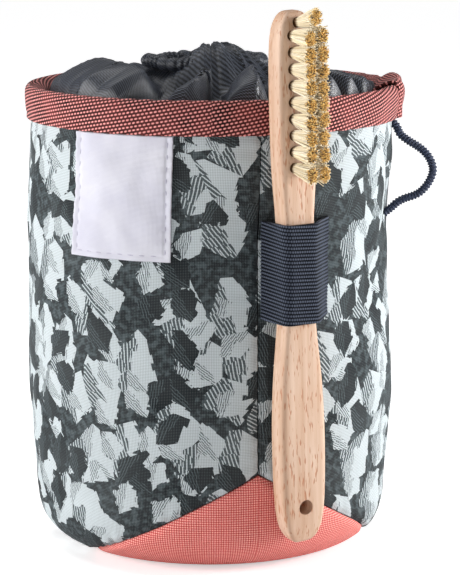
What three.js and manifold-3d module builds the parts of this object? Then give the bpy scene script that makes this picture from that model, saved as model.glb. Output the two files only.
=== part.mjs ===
// A climbing chalk bag: a padded cloth cup with a taped rim, a gathered collar that is drawn
// nearly shut, a cord loop on its side, and an elastic holder with a wooden brush in it.
// Millimetres, +Z up, front towards -Y, origin at the middle of the flat underside.
import * as THREE from "three";
import { mergeVertices } from "three/addons/utils/BufferGeometryUtils.js";
import Module from "manifold-3d";

const wasm = await Module();
wasm.setup();

const degree = Math.PI / 180;

// Bag
const bagHeight = 168.5; // floor to the top of the rim tape
const bagWidth = 130;
const bagDepth = 114;
const wallThickness = 3; // printed cloth, foam and fleece sewn together
const cornerRadius = 18; // where the side turns under the bag
const dentDepth = 2; // the deepest dent in the side
const clearance = 0.3; // between pieces that touch

// Panel seams
const seamAngle = 15.3 * degree; // front seam, from the front towards the right
const seamPeak = 47; // run of the base panel's edge at the seams, from the floor up
const seamLow = 4; // and halfway between them
const seamReach = 72 * degree; // how far round the edge takes to come down
const seamGap = 0.35; // between the two side panels

// Rim tape
const tapeHeight = 12;
const tapeThickness = 1.6;
const tapeCrown = 2.4; // tape and cord above the wall's own top edge
const tapeEndFrom = 80 * degree; // the tape's end laps over its start here
const tapeEndTo = 101 * degree;
const tapeEndThickness = 1.2;

// Collar
const clothThickness = 1.2;
const collarSeat = 10; // how deep the collar starts inside the rim
const collarRise = 5.5; // the collar's middle line above the rim, without its folds
const foldHeight = 6; // a full fold, crest to valley
const neckRadius = 20.5; // to the middle of the drawn hem
const neckOffset = -3; // the neck is drawn a little to the left
const hemWidth = 4.6;
const hemHeight = 4.8;
const hemRuffles = 22;
const ruffleDepth = 0.9;

// Label
const labelFrom = -44.2 * degree;
const labelTo = -10.8 * degree;
const labelHeight = 43; // the part that shows below the tape
const labelThickness = 0.8;

// Brush
const brushLength = 185.5;
const handleThickness = 8.8;
const handleWidth = 18.2; // the widest place, low on the handle
const brushTurn = 30 * degree; // the bristles face right of the front
const brushFoot = 13.6; // height of the brush's lower end
const brushLowerAngle = 28.9 * degree; // where round the bag it leans on the side
const brushUpperAngle = 24.2 * degree; // and on the rim tape
const handleRounding = 0.3; // of the handle's edges, as a share of its smaller size
const hangHole = 5.4;
const hangHoleHeight = 13.6; // from the brush's lower end
const tuftLength = 10.4;
const tuftRoot = 3.2;
const tuftHoleDepth = 2.2;
const tuftRows = 9;
const tuftSpacing = 5.5;
const tuftColumnSpacing = 4.7;
const tipOverlap = 1.1; // how far the splayed tips of neighbouring tufts run together
const firstRowInset = 8; // the top row of tufts, from the brush's upper end
const endTuftInset = 3.9; // the single tuft above it
const endTuftLean = 0.16; // how far it leans up for each millimetre out
const lowTuftLean = -0.07; // and the lowest row, downwards

// Brush holder
const holderHeight = 34.5;
const holderMiddle = 110.2; // height of its middle
const holderThickness = 1.3;
const holderEndAngle = 37 * degree;
const holderLap = 1.6 * degree; // how far its outer face reaches past its inner one

// Cord loop
const cordDiameter = 3.2;

// How the side swells, narrows and leans, as shares of the wall's height and the bag's half
// sizes.
const wallSections = [
  { height: 0.0, width: 0.995, depth: 0.985, lean: -0.014 },
  { height: 0.12, width: 1.01, depth: 0.985, lean: -0.016 },
  { height: 0.3, width: 1.03, depth: 0.99, lean: -0.026 },
  { height: 0.5, width: 1.023, depth: 0.99, lean: -0.026 },
  { height: 0.68, width: 1.012, depth: 0.995, lean: -0.026 },
  { height: 0.87, width: 1.004, depth: 1.0, lean: -0.01 },
  { height: 1.0, width: 1.0, depth: 1.0, lean: 0.0 },
];

// Dents in the side: place round the bag, height as a share of the bag's, spread round it,
// spread up it as a share of the bag's height, and depth as a share of the deepest.
const wallDents = [
  { angle: 82, height: 0.73, spread: 11, rise: 0.08, depth: 1.0 },
  { angle: 98, height: 0.63, spread: 13, rise: 0.09, depth: 0.7 },
  { angle: 62, height: 0.56, spread: 12, rise: 0.1, depth: 0.55 },
  { angle: -62, height: 0.42, spread: 16, rise: 0.12, depth: 0.5 },
  { angle: -150, height: 0.5, spread: 22, rise: 0.14, depth: 0.6 },
  { angle: 155, height: 0.6, spread: 20, rise: 0.12, depth: 0.5 },
];

// The rim tape's section: out from the wall's outer face as shares of the tape's thickness
// (outside) or of the wall's (inside), and up as a share of the tape's height.
const tapeOutside = [
  { out: 0.85, up: 0.0 },
  { out: 1.1, up: 0.4 },
  { out: 1.1, up: 0.8 },
  { out: 0.35, up: 0.97 },
];
const tapeInside = [
  { out: 0.1, up: 0.98 },
  { out: 0.97, up: 0.82 },
  { out: 1.05, up: 0.45 },
  { out: 1.02, up: 0.1 },
];

// The collar's own line from the rim to the neck, by its share of the way: how far in from its
// seat towards the neck, and how high from its seat towards its top.
const collarLine = [
  { along: 0.0, inward: 0.0, up: 0.0 },
  { along: 0.14, inward: 0.01, up: 0.32 },
  { along: 0.29, inward: 0.06, up: 0.61 },
  { along: 0.43, inward: 0.2, up: 0.85 },
  { along: 0.57, inward: 0.4, up: 0.98 },
  { along: 0.71, inward: 0.62, up: 1.0 },
  { along: 0.86, inward: 0.87, up: 0.92 },
  { along: 1.0, inward: 1.0, up: 0.92 },
];

// Folds of the collar: place round the bag at the rim, turn on the way to the neck, half width,
// height as a share of a full fold, and where along the way the fold is highest.
const collarFolds = [
  { angle: -64, turn: 16, width: 13, height: 0.95, crest: 0.5 },
  { angle: -41, turn: 10, width: 6, height: 0.7, crest: 0.45 },
  { angle: -25, turn: 4, width: 5, height: 0.8, crest: 0.4 },
  { angle: -8, turn: -6, width: 7, height: 1.0, crest: 0.5 },
  { angle: 12, turn: -8, width: 6, height: 0.95, crest: 0.5 },
  { angle: 33, turn: -8, width: 7, height: 0.9, crest: 0.5 },
  { angle: 54, turn: -12, width: 6, height: 0.8, crest: 0.5 },
  { angle: 73, turn: -6, width: 6, height: 0.6, crest: 0.5 },
  { angle: 94, turn: 6, width: 7, height: 0.45, crest: 0.55 },
  { angle: 116, turn: 4, width: 7, height: 0.7, crest: 0.5 },
  { angle: 137, turn: -5, width: 6, height: 0.85, crest: 0.5 },
  { angle: 159, turn: 5, width: 7, height: 0.9, crest: 0.5 },
  { angle: 182, turn: -4, width: 6, height: 0.8, crest: 0.5 },
  { angle: 204, turn: 6, width: 7, height: 0.95, crest: 0.5 },
  { angle: 228, turn: -3, width: 7, height: 0.8, crest: 0.5 },
  { angle: 250, turn: 5, width: 6, height: 0.9, crest: 0.5 },
  { angle: 271, turn: 8, width: 7, height: 0.8, crest: 0.5 },
];

// The brush handle from its lower end up, as shares of its length, width and thickness.
const handleSections = [
  { along: 0.0, width: 0.3, thickness: 0.45 },
  { along: 0.01, width: 0.56, thickness: 0.75 },
  { along: 0.032, width: 0.82, thickness: 0.95 },
  { along: 0.075, width: 0.94, thickness: 1.0 },
  { along: 0.2, width: 1.0, thickness: 1.0 },
  { along: 0.32, width: 0.9, thickness: 0.97 },
  { along: 0.43, width: 0.655, thickness: 0.93 },
  { along: 0.54, width: 0.58, thickness: 0.93 },
  { along: 0.64, width: 0.665, thickness: 0.97 },
  { along: 0.72, width: 0.785, thickness: 1.0 },
  { along: 0.93, width: 0.8, thickness: 1.0 },
  { along: 0.972, width: 0.71, thickness: 0.96 },
  { along: 0.992, width: 0.47, thickness: 0.78 },
  { along: 1.0, width: 0.26, thickness: 0.5 },
];

// The cord loop's route, chosen by hand from the rim tape's lower edge back into the side.
const cordRoute = [
  [65.9, -6.2, 153.0],
  [67.4, -6.4, 150.2],
  [70.4, -6.8, 147.9],
  [73.2, -7.0, 146.2],
  [75.7, -7.2, 144.3],
  [77.7, -7.4, 141.9],
  [78.9, -7.6, 139.1],
  [79.0, -7.8, 136.6],
  [78.1, -8.0, 134.0],
  [76.5, -8.2, 131.5],
  [74.3, -8.4, 129.4],
  [71.8, -8.6, 128.2],
  [68.9, -8.9, 127.3],
  [66.4, -9.2, 126.0],
  [64.3, -9.4, 124.2],
];

// Rows of the side panels, as shares of the way from their lower edge to the rim: close
// together where the side turns under the bag.
const panelRows = [0, 0.035, 0.075, 0.12, 0.2, 0.34, 0.5, 0.62, 0.71, 0.84, 1];

const roundColumns = 48; // facets round the bag
const collarColumns = 72;

const colours = {
  print: 0x6f7a7d,
  coral: 0xd6605a,
  charcoal: 0x2a2e36,
  label: 0xe9e6ee,
  navy: 0x262b3a,
  beech: 0xdcb48e,
  bristle: 0xdcc07a,
};

const range = (count) => Array.from({ length: count }, (_, i) => i);
const smooth = (share) => share * share * (3 - 2 * share);
const clamp = THREE.MathUtils.clamp;

// Reads a column of a table at a place between its rows, as one smooth curve through them.
function tableAt(rows, key, at, column) {
  const found = rows.findIndex((row) => row[key] >= at);
  const upper = clamp(found < 0 ? rows.length - 1 : found, 1, rows.length - 1);
  const slope = (i) => {
    const [low, high] = [rows[Math.max(i - 1, 0)], rows[Math.min(i + 1, rows.length - 1)]];
    return (high[column] - low[column]) / (high[key] - low[key]);
  };
  const [low, high] = [rows[upper - 1], rows[upper]];
  const span = high[key] - low[key];
  const share = clamp((at - low[key]) / span, 0, 1);
  const bend = share * (1 - share) * span;
  const straight = THREE.MathUtils.lerp(low[column], high[column], smooth(share));
  return straight + bend * ((1 - share) * slope(upper - 1) - share * slope(upper));
}

// The difference between two angles in degrees, from -180 to 180.
const turnBetween = (a, b) => ((((a - b) % 360) + 540) % 360) - 180;

// A closed geometry that faces out, from triangles that may hold points twice.
function closedGeometry(triangles) {
  const corners = triangles.flat().flatMap((point) => point.toArray());
  const loose = new THREE.BufferGeometry();
  loose.setAttribute("position", new THREE.Float32BufferAttribute(corners, 3));
  const merged = mergeVertices(loose, 1e-3);
  const at = merged.getAttribute("position");
  const index = [...merged.index.array];
  const kept = [];
  let volume = 0;
  for (let i = 0; i < index.length; i += 3) {
    const [a, b, c] = index.slice(i, i + 3);
    if (a === b || b === c || c === a) continue;
    kept.push(a, b, c);
    const [p, q, r] = [a, b, c].map((v) => new THREE.Vector3().fromBufferAttribute(at, v));
    volume += p.dot(q.cross(r));
  }
  merged.setIndex(volume < 0 ? kept.reverse() : kept);
  return merged;
}

// A skin with thickness over two facing grids of points. Columns may close on themselves.
function wallGeometry(outer, inner, wraps) {
  const triangles = [];
  const quad = (a, b, c, d) => triangles.push([a, b, c], [a, c, d]);
  const rows = outer.length;
  const columns = outer[0].length;
  const steps = wraps ? columns : columns - 1;
  const last = rows - 1;
  for (let c = 0; c < steps; c++) {
    const n = (c + 1) % columns;
    for (let r = 0; r < last; r++) {
      quad(outer[r][c], outer[r][n], outer[r + 1][n], outer[r + 1][c]);
      quad(inner[r][c], inner[r + 1][c], inner[r + 1][n], inner[r][n]);
    }
    quad(outer[0][n], outer[0][c], inner[0][c], inner[0][n]);
    quad(outer[last][c], outer[last][n], inner[last][n], inner[last][c]);
  }
  if (!wraps)
    for (let r = 0; r < last; r++) {
      const c = columns - 1;
      quad(outer[r][0], outer[r + 1][0], inner[r + 1][0], inner[r][0]);
      quad(outer[r + 1][c], outer[r][c], inner[r][c], inner[r + 1][c]);
    }
  return closedGeometry(triangles);
}

// A ring whose every section is a closed loop of points.
function ringGeometry(sections) {
  const triangles = [];
  const count = sections[0].length;
  sections.forEach((section, i) => {
    const next = sections[(i + 1) % sections.length];
    for (let j = 0; j < count; j++) {
      const k = (j + 1) % count;
      triangles.push([section[j], next[j], next[k]], [section[j], next[k], section[k]]);
    }
  });
  return closedGeometry(triangles);
}

// A solid through a stack of closed loops, with flat ends.
function stackGeometry(loops) {
  const triangles = [];
  const count = loops[0].length;
  for (let i = 0; i + 1 < loops.length; i++)
    for (let j = 0; j < count; j++) {
      const k = (j + 1) % count;
      triangles.push([loops[i][j], loops[i][k], loops[i + 1][k]]);
      triangles.push([loops[i][j], loops[i + 1][k], loops[i + 1][j]]);
    }
  for (const [loop, turned] of [[loops[0], true], [loops.at(-1), false]]) {
    const middle = loop.reduce((sum, p) => sum.add(p), new THREE.Vector3());
    middle.divideScalar(count);
    loop.forEach((point, j) => {
      const next = loop[(j + 1) % count];
      triangles.push(turned ? [middle, next, point] : [middle, point, next]);
    });
  }
  return closedGeometry(triangles);
}

// The same triangles without their normals and texture places
function bareCopy(geometry) {
  const bare = new THREE.BufferGeometry();
  bare.setAttribute("position", geometry.getAttribute("position"));
  if (geometry.index) bare.setIndex(geometry.index);
  return bare;
}

function solidOf(geometry) {
  const merged = mergeVertices(bareCopy(geometry), 1e-3);
  const vertProperties = merged.getAttribute("position").array;
  const triVerts = new Uint32Array(merged.index.array);
  return new wasm.Manifold(new wasm.Mesh({ numProp: 3, vertProperties, triVerts }));
}

function geometryOf(solid) {
  const mesh = solid.getMesh();
  const geometry = new THREE.BufferGeometry();
  geometry.setAttribute("position", new THREE.BufferAttribute(mesh.vertProperties, 3));
  geometry.setIndex(new THREE.BufferAttribute(mesh.triVerts, 1));
  return geometry;
}

function piece(name, geometry, color, roughness) {
  geometry.computeVertexNormals();
  const material = new THREE.MeshStandardMaterial({ color, roughness, metalness: 0 });
  const mesh = new THREE.Mesh(geometry, material);
  mesh.name = name;
  return mesh;
}

// Side of the bag
const wallTop = bagHeight - tapeCrown - clearance;
const cornerRun = (cornerRadius * Math.PI) / 2;
const wallTopRun = cornerRun + wallTop - cornerRadius;

function dentAt(angle, height) {
  let depth = 0;
  for (const dent of wallDents) {
    const across = turnBetween(angle / degree, dent.angle) / dent.spread;
    const up = (height / bagHeight - dent.height) / dent.rise;
    depth += dent.depth * Math.exp(-across * across - up * up);
  }
  return depth * dentDepth;
}

// The wall's half sizes and its sideways lean at a height
function wallSizes(height) {
  const share = clamp((height - cornerRadius) / (wallTop - cornerRadius), 0, 1);
  return {
    width: (bagWidth / 2) * tableAt(wallSections, "height", share, "width"),
    depth: (bagDepth / 2) * tableAt(wallSections, "height", share, "depth"),
    lean: (bagWidth / 2) * tableAt(wallSections, "height", share, "lean"),
  };
}

// A point of the side. Run is the way up from the floor's edge, below 0 on the underside;
// inward is how deep below the outer face the point lies.
function wallPoint(angle, run, inward) {
  const turned = clamp(run / cornerRadius, 0, Math.PI / 2);
  const radius = cornerRadius - inward;
  const rise = Math.max(run - cornerRun, 0);
  const height = cornerRadius - radius * Math.cos(turned) + rise;
  const { width, depth, lean } = wallSizes(cornerRadius + rise);
  const dent = rise > 0 ? dentAt(angle, height) : 0;
  const inset = cornerRadius - radius * Math.sin(turned) - Math.min(run, 0) + dent;
  return new THREE.Vector3(
    lean + (width - inset) * Math.sin(angle),
    -(depth - inset) * Math.cos(angle),
    height,
  );
}

const runOfHeight = (height) => cornerRun + height - cornerRadius;

// The base panel's upper edge: it peaks at the front and back seams.
function seamRun(angle) {
  const away = Math.abs(turnBetween((angle - seamAngle) / degree, 0)) * degree;
  const fromNearest = Math.min(away, Math.PI - away);
  const drop = clamp(fromNearest / seamReach, 0, 1);
  return seamPeak - (seamPeak - seamLow) * drop;
}

// One side panel, from one seam half way round to the other
function sidePanel(from) {
  const columns = roundColumns / 2;
  const halfGap = seamGap / bagWidth;
  const face = (inward) =>
    panelRows.map((share) =>
      range(columns + 1).map((c) => {
        const span = Math.PI - 2 * halfGap;
        const angle = from + halfGap + (span * c) / columns;
        const low = seamRun(angle) + 1.2 * clearance;
        return wallPoint(angle, THREE.MathUtils.lerp(low, wallTopRun, share), inward);
      }),
    );
  return wallGeometry(face(0), face(wallThickness), false);
}

// The base panel: the flat underside, the rounded corner, and the peaks up to the side panels
function basePanel() {
  const sideRows = 5;
  const angles = range(roundColumns).map((c) => seamAngle + (2 * Math.PI * c) / roundColumns);
  const face = (inward) => [
    angles.map(() => new THREE.Vector3(0, 0, inward)),
    ...range(sideRows + 1).map((r) =>
      angles.map((angle) => wallPoint(angle, (seamRun(angle) * r) / sideRows, inward)),
    ),
  ];
  return wallGeometry(face(0), face(wallThickness), true);
}

// The tape's section, grown all round by some extra thickness: out from the wall and up from
// the tape's lower edge
function tapeSection(extra) {
  const inner = wallThickness + clearance + tapeThickness;
  const rise = (up) => up * tapeHeight + extra * Math.max(up - 0.8, 0) * 5;
  const outside = tapeOutside.map(({ out, up }) => [
    clearance + tapeThickness * out + extra,
    rise(up),
  ]);
  const inside = tapeInside.map(({ out, up }) => [-(inner + extra) * out, rise(up)]);
  return { outside, inside };
}

// The place of a section's point on the rim
function rimPoint(angle, [away, up]) {
  const height = bagHeight - tapeHeight + up;
  return wallPoint(angle, Math.min(runOfHeight(height), wallTopRun), -away).setZ(height);
}

function rimTape() {
  const { outside, inside } = tapeSection(0);
  const slot = [
    [-wallThickness - clearance, inside.at(-1)[1]],
    [-wallThickness - clearance, tapeHeight - tapeCrown],
    [clearance, tapeHeight - tapeCrown],
    [clearance, 0],
  ];
  const section = [...outside, ...inside, ...slot];
  const sections = range(roundColumns).map((c) => {
    const angle = seamAngle + (2 * Math.PI * c) / roundColumns;
    return section.map((place) => rimPoint(angle, place));
  });
  return ringGeometry(sections);
}

// The folded end of the tape, lapped over the rim tape
function tapeEnd() {
  const columns = 5;
  const face = (extra) => {
    const { outside, inside } = tapeSection(extra);
    return range(columns).map((c) => {
      const angle = THREE.MathUtils.lerp(tapeEndFrom, tapeEndTo, c / (columns - 1));
      return [...outside, ...inside.slice(0, 2)].map((place) => rimPoint(angle, place));
    });
  };
  return wallGeometry(face(clearance + tapeEndThickness), face(clearance), false);
}

// Collar
const collarInset = 1.05 * (wallThickness + clearance + tapeThickness) + clearance;
const collarWidth = bagWidth / 2 - collarInset;
const collarDepth = bagDepth / 2 - collarInset;
const collarTop = collarSeat + collarRise;
const hemReach = 0.87; // from here inward the collar lies flat under the hem
const hemSeat = bagHeight - collarSeat + collarTop * collarLine.at(-1).up;

function foldAt(angle, along) {
  let height = 0;
  for (const fold of collarFolds) {
    const middle = fold.angle + fold.turn * along;
    const across = turnBetween(angle / degree, middle) / fold.width;
    const way = clamp(along / fold.crest, 0, 1);
    const back = clamp((hemReach - along) / (hemReach - fold.crest), 0, 1);
    height += fold.height * Math.exp(-across * across) * smooth(way) * smooth(back);
  }
  const level = 0.35 * smooth(clamp(along * 2, 0, 1)) * smooth(clamp(hemReach - along, 0, 1));
  return (height - level) * foldHeight;
}

function collarPoint(angle, along) {
  const inward = tableAt(collarLine, "along", along, "inward");
  const up = tableAt(collarLine, "along", along, "up");
  const fold = foldAt(angle, along);
  const neck = neckRadius - hemWidth / 2 + clearance;
  const width = THREE.MathUtils.lerp(collarWidth, neck, inward);
  const depth = THREE.MathUtils.lerp(collarDepth, neck, inward);
  const height = bagHeight - collarSeat + up * collarTop + fold * smooth(up);
  return new THREE.Vector3(
    width * Math.sin(angle) + neckOffset * inward,
    -depth * Math.cos(angle),
    height,
  );
}

function collar() {
  const rows = 10;
  const step = 0.01;
  const top = range(rows + 1).map((r) =>
    range(collarColumns).map((c) => collarPoint((2 * Math.PI * c) / collarColumns, r / rows)),
  );
  const under = range(rows + 1).map((r) =>
    range(collarColumns).map((c) => {
      const angle = (2 * Math.PI * c) / collarColumns;
      const along = r / rows;
      const round = collarPoint(angle + step, along).sub(collarPoint(angle - step, along));
      const way = collarPoint(angle, Math.min(along + step, 1));
      way.sub(collarPoint(angle, Math.max(along - step, 0)));
      const out = way.cross(round).normalize();
      if (out.z < 0) out.negate();
      return top[r][c].clone().addScaledVector(out, -clothThickness);
    }),
  );
  return wallGeometry(top, under, true);
}

// The drawn hem: a ruffled ring on the collar's inner edge
function collarHem() {
  const columns = hemRuffles * 3;
  const sides = 7;
  const sections = range(columns).map((c) => {
    const angle = (2 * Math.PI * c) / columns;
    const swell = ruffleDepth * Math.cos(hemRuffles * angle);
    return range(sides).map((s) => {
      const turn = (2 * Math.PI * (s + 0.5)) / sides;
      const out = neckRadius + (hemWidth / 2 + swell) * Math.cos(turn);
      const up = (hemHeight / 2 + swell / 2) * Math.sin(turn);
      const height = hemSeat + clearance + (hemHeight + ruffleDepth) / 2 + up;
      return new THREE.Vector3(out * Math.sin(angle) + neckOffset, -out * Math.cos(angle), height);
    });
  });
  return ringGeometry(sections);
}

// The label: sewn to the left panel, with its top edge under the rim tape
function label() {
  const columns = 8;
  const rows = 5;
  const top = bagHeight - tapeHeight - clearance;
  const face = (away) =>
    range(rows + 1).map((r) =>
      range(columns + 1).map((c) => {
        const angle = THREE.MathUtils.lerp(labelFrom, labelTo, c / columns);
        const height = top - labelHeight + (labelHeight * r) / rows;
        return wallPoint(angle, runOfHeight(height), -away);
      }),
    );
  return wallGeometry(face(clearance + labelThickness), face(clearance), false);
}

// Brush
const widthAt = (along) => handleWidth * tableAt(handleSections, "along", along, "width");
const thicknessAt = (along) =>
  handleThickness * tableAt(handleSections, "along", along, "thickness");

const alongOf = (height) => (height - brushFoot) / brushLength;

// A rounded rectangle across the handle, with the bristle face towards -Y
function handleLoop(width, thickness, height) {
  const radius = handleRounding * Math.min(width, thickness);
  const points = [];
  for (const [x, y, start] of [[1, 1, 0], [-1, 1, 1], [-1, -1, 2], [1, -1, 3]])
    for (const turn of [0, 0.5, 1]) {
      const angle = ((start + turn) * Math.PI) / 2;
      const across = x * (width / 2 - radius) + radius * Math.cos(angle);
      const deep = y * (thickness / 2 - radius) + radius * Math.sin(angle);
      points.push(new THREE.Vector3(across, deep, height));
    }
  return points;
}

const upward = new THREE.Vector3(0, 0, 1);

// How far a level point lies outside the bag's wall, grown by some thickness
function outsideBag(point, height, extra) {
  const { width, depth, lean } = wallSizes(height);
  const [x, y] = [point.x - lean, point.y];
  const share = Math.hypot(x / (width + extra), y / (depth + extra));
  return (Math.hypot(x, y) * (share - 1)) / share;
}

// Where the handle's middle lies when it rests against the bag at one height
function handleSeat(angle, height, extra) {
  const along = alongOf(height);
  const loop = handleLoop(widthAt(along), thicknessAt(along), 0);
  loop.forEach((point) => point.applyAxisAngle(upward, brushTurn));
  const away = new THREE.Vector3(Math.sin(angle), -Math.cos(angle), 0);
  let near = 0;
  let far = bagWidth;
  for (const _ of range(40)) {
    const middle = (near + far) / 2;
    const spaces = loop.map((point) =>
      outsideBag(point.clone().addScaledVector(away, middle), height, extra),
    );
    if (Math.min(...spaces) > 1.5 * clearance) far = middle;
    else near = middle;
  }
  return away.multiplyScalar(far).setZ(height);
}

// The handle leans on the rim tape above and on the bag's side below.
const rimContact = bagHeight - 0.6 * tapeHeight;
const sideContact = cornerRadius * 1.4;
const tapeReach = clearance + 1.1 * tapeThickness;
const upperSeat = handleSeat(brushUpperAngle, rimContact, tapeReach);
const lowerSeat = handleSeat(brushLowerAngle, sideContact, 0);
const brushWay = upperSeat.clone().sub(lowerSeat);
const brushMiddle = (height) =>
  lowerSeat.clone().addScaledVector(brushWay, (height - sideContact) / brushWay.z);

const tuftTip = Math.max(tuftSpacing, tuftColumnSpacing) + tipOverlap;
const tuftSides = 8;
const tufts = [{ x: 0, height: brushLength - endTuftInset, lean: endTuftLean }];
for (const row of range(tuftRows))
  for (const side of [-0.5, 0.5]) {
    const height = brushLength - firstRowInset - row * tuftSpacing;
    const lean = row === tuftRows - 1 ? lowTuftLean : 0.02 * Math.sin(5 * row + 3 * side);
    tufts.push({ x: side * tuftColumnSpacing, height, lean });
  }

// A round peg along the handle's Y, from its face
function peg(rootRadius, tipRadius, from, to, sides) {
  const geometry = new THREE.CylinderGeometry(tipRadius, rootRadius, to - from, sides);
  geometry.rotateX(Math.PI);
  geometry.translate(0, -(from + to) / 2, 0);
  return geometry;
}

function brushHandle() {
  const loops = handleSections.map(({ along, width, thickness }) =>
    handleLoop(width * handleWidth, thickness * handleThickness, along * brushLength),
  );
  const holeSides = 16;
  let solid = solidOf(stackGeometry(loops));
  const hole = peg(hangHole / 2, hangHole / 2, -handleThickness, handleThickness, holeSides);
  hole.translate(0, 0, hangHoleHeight);
  solid = solid.subtract(solidOf(hole));
  const face = handleThickness / 2;
  const bore = tuftRoot / 2 + clearance;
  for (const { x, height } of tufts) {
    const blind = peg(bore, bore, face - tuftHoleDepth, face + clearance, tuftSides);
    blind.translate(x, 0, height);
    solid = solid.subtract(solidOf(blind));
  }
  return geometryOf(solid);
}

function brushBristles() {
  const face = handleThickness / 2;
  const floor = face - tuftHoleDepth + clearance;
  const flareFrom = face + clearance;
  const parts = tufts.map(({ x, height, lean }) => {
    const root = peg(tuftRoot / 2, tuftRoot / 2, floor, flareFrom, tuftSides);
    const flare = peg(tuftRoot / 2, tuftTip / 2, flareFrom, face + tuftLength, tuftSides);
    const at = flare.getAttribute("position");
    for (const i of range(at.count)) {
      const out = Math.max(-at.getY(i) - flareFrom, 0);
      at.setZ(i, at.getZ(i) + lean * out);
    }
    root.translate(x, 0, height);
    flare.translate(x, 0, height);
    return solidOf(root).add(solidOf(flare));
  });
  return geometryOf(parts.reduce((sum, part) => sum.add(part)));
}

// The holder's line at one height: from the front seam, round the handle's two front edges
// and back to the side. Away is how far it lies from the handle's surface.
function holderLine(height, away) {
  const along = alongOf(height);
  const [width, thickness] = [widthAt(along), thicknessAt(along)];
  const corner = handleRounding * Math.min(width, thickness);
  const reach = corner + clearance + away;
  const faceTurn = brushTurn - Math.PI / 2;
  const share = away / holderThickness;
  const line = [];
  for (const side of [-1, 1]) {
    const centre = new THREE.Vector3(side * (width / 2 - corner), corner - thickness / 2, 0);
    centre.applyAxisAngle(upward, brushTurn).add(brushMiddle(height));
    const footAngle =
      side < 0 ? seamAngle + holderLap * (1.3 - share) : holderEndAngle + holderLap * share;
    const foot = wallPoint(footAngle, runOfHeight(height), -clearance);
    const toFoot = foot.clone().sub(centre);
    const footTurn = Math.atan2(toFoot.y, toFoot.x);
    const touch = footTurn - side * Math.acos(reach / Math.hypot(toFoot.x, toFoot.y));
    const sweep = turnBetween(faceTurn / degree, touch / degree) * degree;
    const bend = [0, 0.5, 1].map((part) => {
      const turn = touch + sweep * part;
      return new THREE.Vector3(Math.cos(turn), Math.sin(turn), 0)
        .multiplyScalar(reach)
        .add(centre);
    });
    line.push(...(side < 0 ? [foot, ...bend] : [...bend.reverse(), foot]));
  }
  return line;
}

function brushHolder() {
  const rows = 5;
  const face = (away) =>
    range(rows + 1).map((r) =>
      holderLine(holderMiddle + holderHeight * (r / rows - 0.5), away),
    );
  return wallGeometry(face(holderThickness), face(0), false);
}

function cordLoop() {
  const curve = new THREE.CatmullRomCurve3(cordRoute.map((at) => new THREE.Vector3(...at)));
  const sides = 8;
  const outline = range(sides).map((s) => {
    const turn = (2 * Math.PI * s) / sides;
    const radius = cordDiameter / 2;
    return new THREE.Vector2(radius * Math.cos(turn), radius * Math.sin(turn));
  });
  const shape = new THREE.Shape(outline);
  const along = { steps: 28, extrudePath: curve, bevelEnabled: false, curveSegments: 1 };
  return mergeVertices(bareCopy(new THREE.ExtrudeGeometry(shape, along)), 1e-3);
}

const bag = new THREE.Group();
bag.name = "bag";
bag.add(
  piece("base_panel", basePanel(), colours.coral, 0.85),
  piece("side_panel_right", sidePanel(seamAngle), colours.print, 0.85),
  piece("side_panel_left", sidePanel(seamAngle + Math.PI), colours.print, 0.85),
  piece("rim_binding", rimTape(), colours.coral, 0.8),
  piece("binding_overlap", tapeEnd(), colours.coral, 0.8),
  piece("collar", collar(), colours.charcoal, 0.55),
  piece("collar_hem", collarHem(), colours.charcoal, 0.55),
  piece("side_label", label(), colours.label, 0.75),
  piece("brush_holder", brushHolder(), colours.navy, 0.8),
  piece("cord_loop", cordLoop(), colours.navy, 0.7),
);

// The brush is made upright, then turned and leant on the bag.
const brush = new THREE.Group();
brush.name = "brush";
brush.add(
  piece("brush_handle", brushHandle(), colours.beech, 0.6),
  piece("brush_bristles", brushBristles(), colours.bristle, 0.85),
);
const way = brushWay.clone().normalize();
const across = new THREE.Vector3(Math.cos(brushTurn), Math.sin(brushTurn), 0);
across.addScaledVector(way, -across.dot(way)).normalize();
const pose = new THREE.Matrix4().makeBasis(across, way.clone().cross(across), way);
brush.applyMatrix4(pose.setPosition(brushMiddle(brushFoot)));

const chalkBag = new THREE.Group();
chalkBag.name = "chalk_bag";
chalkBag.add(bag, brush);

export default chalkBag;
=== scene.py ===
import math

import bmesh
import bpy
import numpy as np
from mathutils import Matrix, Vector


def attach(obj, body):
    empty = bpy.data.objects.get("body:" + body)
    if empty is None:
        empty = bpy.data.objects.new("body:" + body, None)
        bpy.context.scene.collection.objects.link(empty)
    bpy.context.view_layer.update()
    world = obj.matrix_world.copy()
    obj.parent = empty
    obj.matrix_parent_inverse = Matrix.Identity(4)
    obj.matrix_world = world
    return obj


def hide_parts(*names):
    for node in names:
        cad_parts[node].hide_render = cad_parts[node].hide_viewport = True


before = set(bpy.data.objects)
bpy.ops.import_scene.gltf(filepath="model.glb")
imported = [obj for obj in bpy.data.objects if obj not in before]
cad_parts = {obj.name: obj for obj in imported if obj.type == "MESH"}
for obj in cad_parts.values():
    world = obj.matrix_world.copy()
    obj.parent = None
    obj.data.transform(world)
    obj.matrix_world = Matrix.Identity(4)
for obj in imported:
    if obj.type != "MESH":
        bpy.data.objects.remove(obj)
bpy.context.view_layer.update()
print("frame loaded")

mm = 0.001
degree = math.pi / 180
scene = bpy.context.scene


# Camera: a long lens a little above the rim, at the photograph's angle.
view = {"place": (0.0061, -0.7434, 0.2506), "tilt": 78, "lens": 129.29, "film": 36}

cameraData = bpy.data.cameras.new("camera")
cameraData.lens = view["lens"]
cameraData.sensor_fit = "VERTICAL"
cameraData.sensor_height = view["film"]
camera = bpy.data.objects.new("camera", cameraData)
camera.location = view["place"]
camera.rotation_euler = (math.radians(view["tilt"]), 0, 0)
scene.collection.objects.link(camera)
scene.camera = camera


# Small tools for meshes

def clearSelection():
    bpy.ops.object.select_all(action="DESELECT")


def pick(piece):
    clearSelection()
    piece.select_set(True)
    bpy.context.view_layer.objects.active = piece


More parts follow.
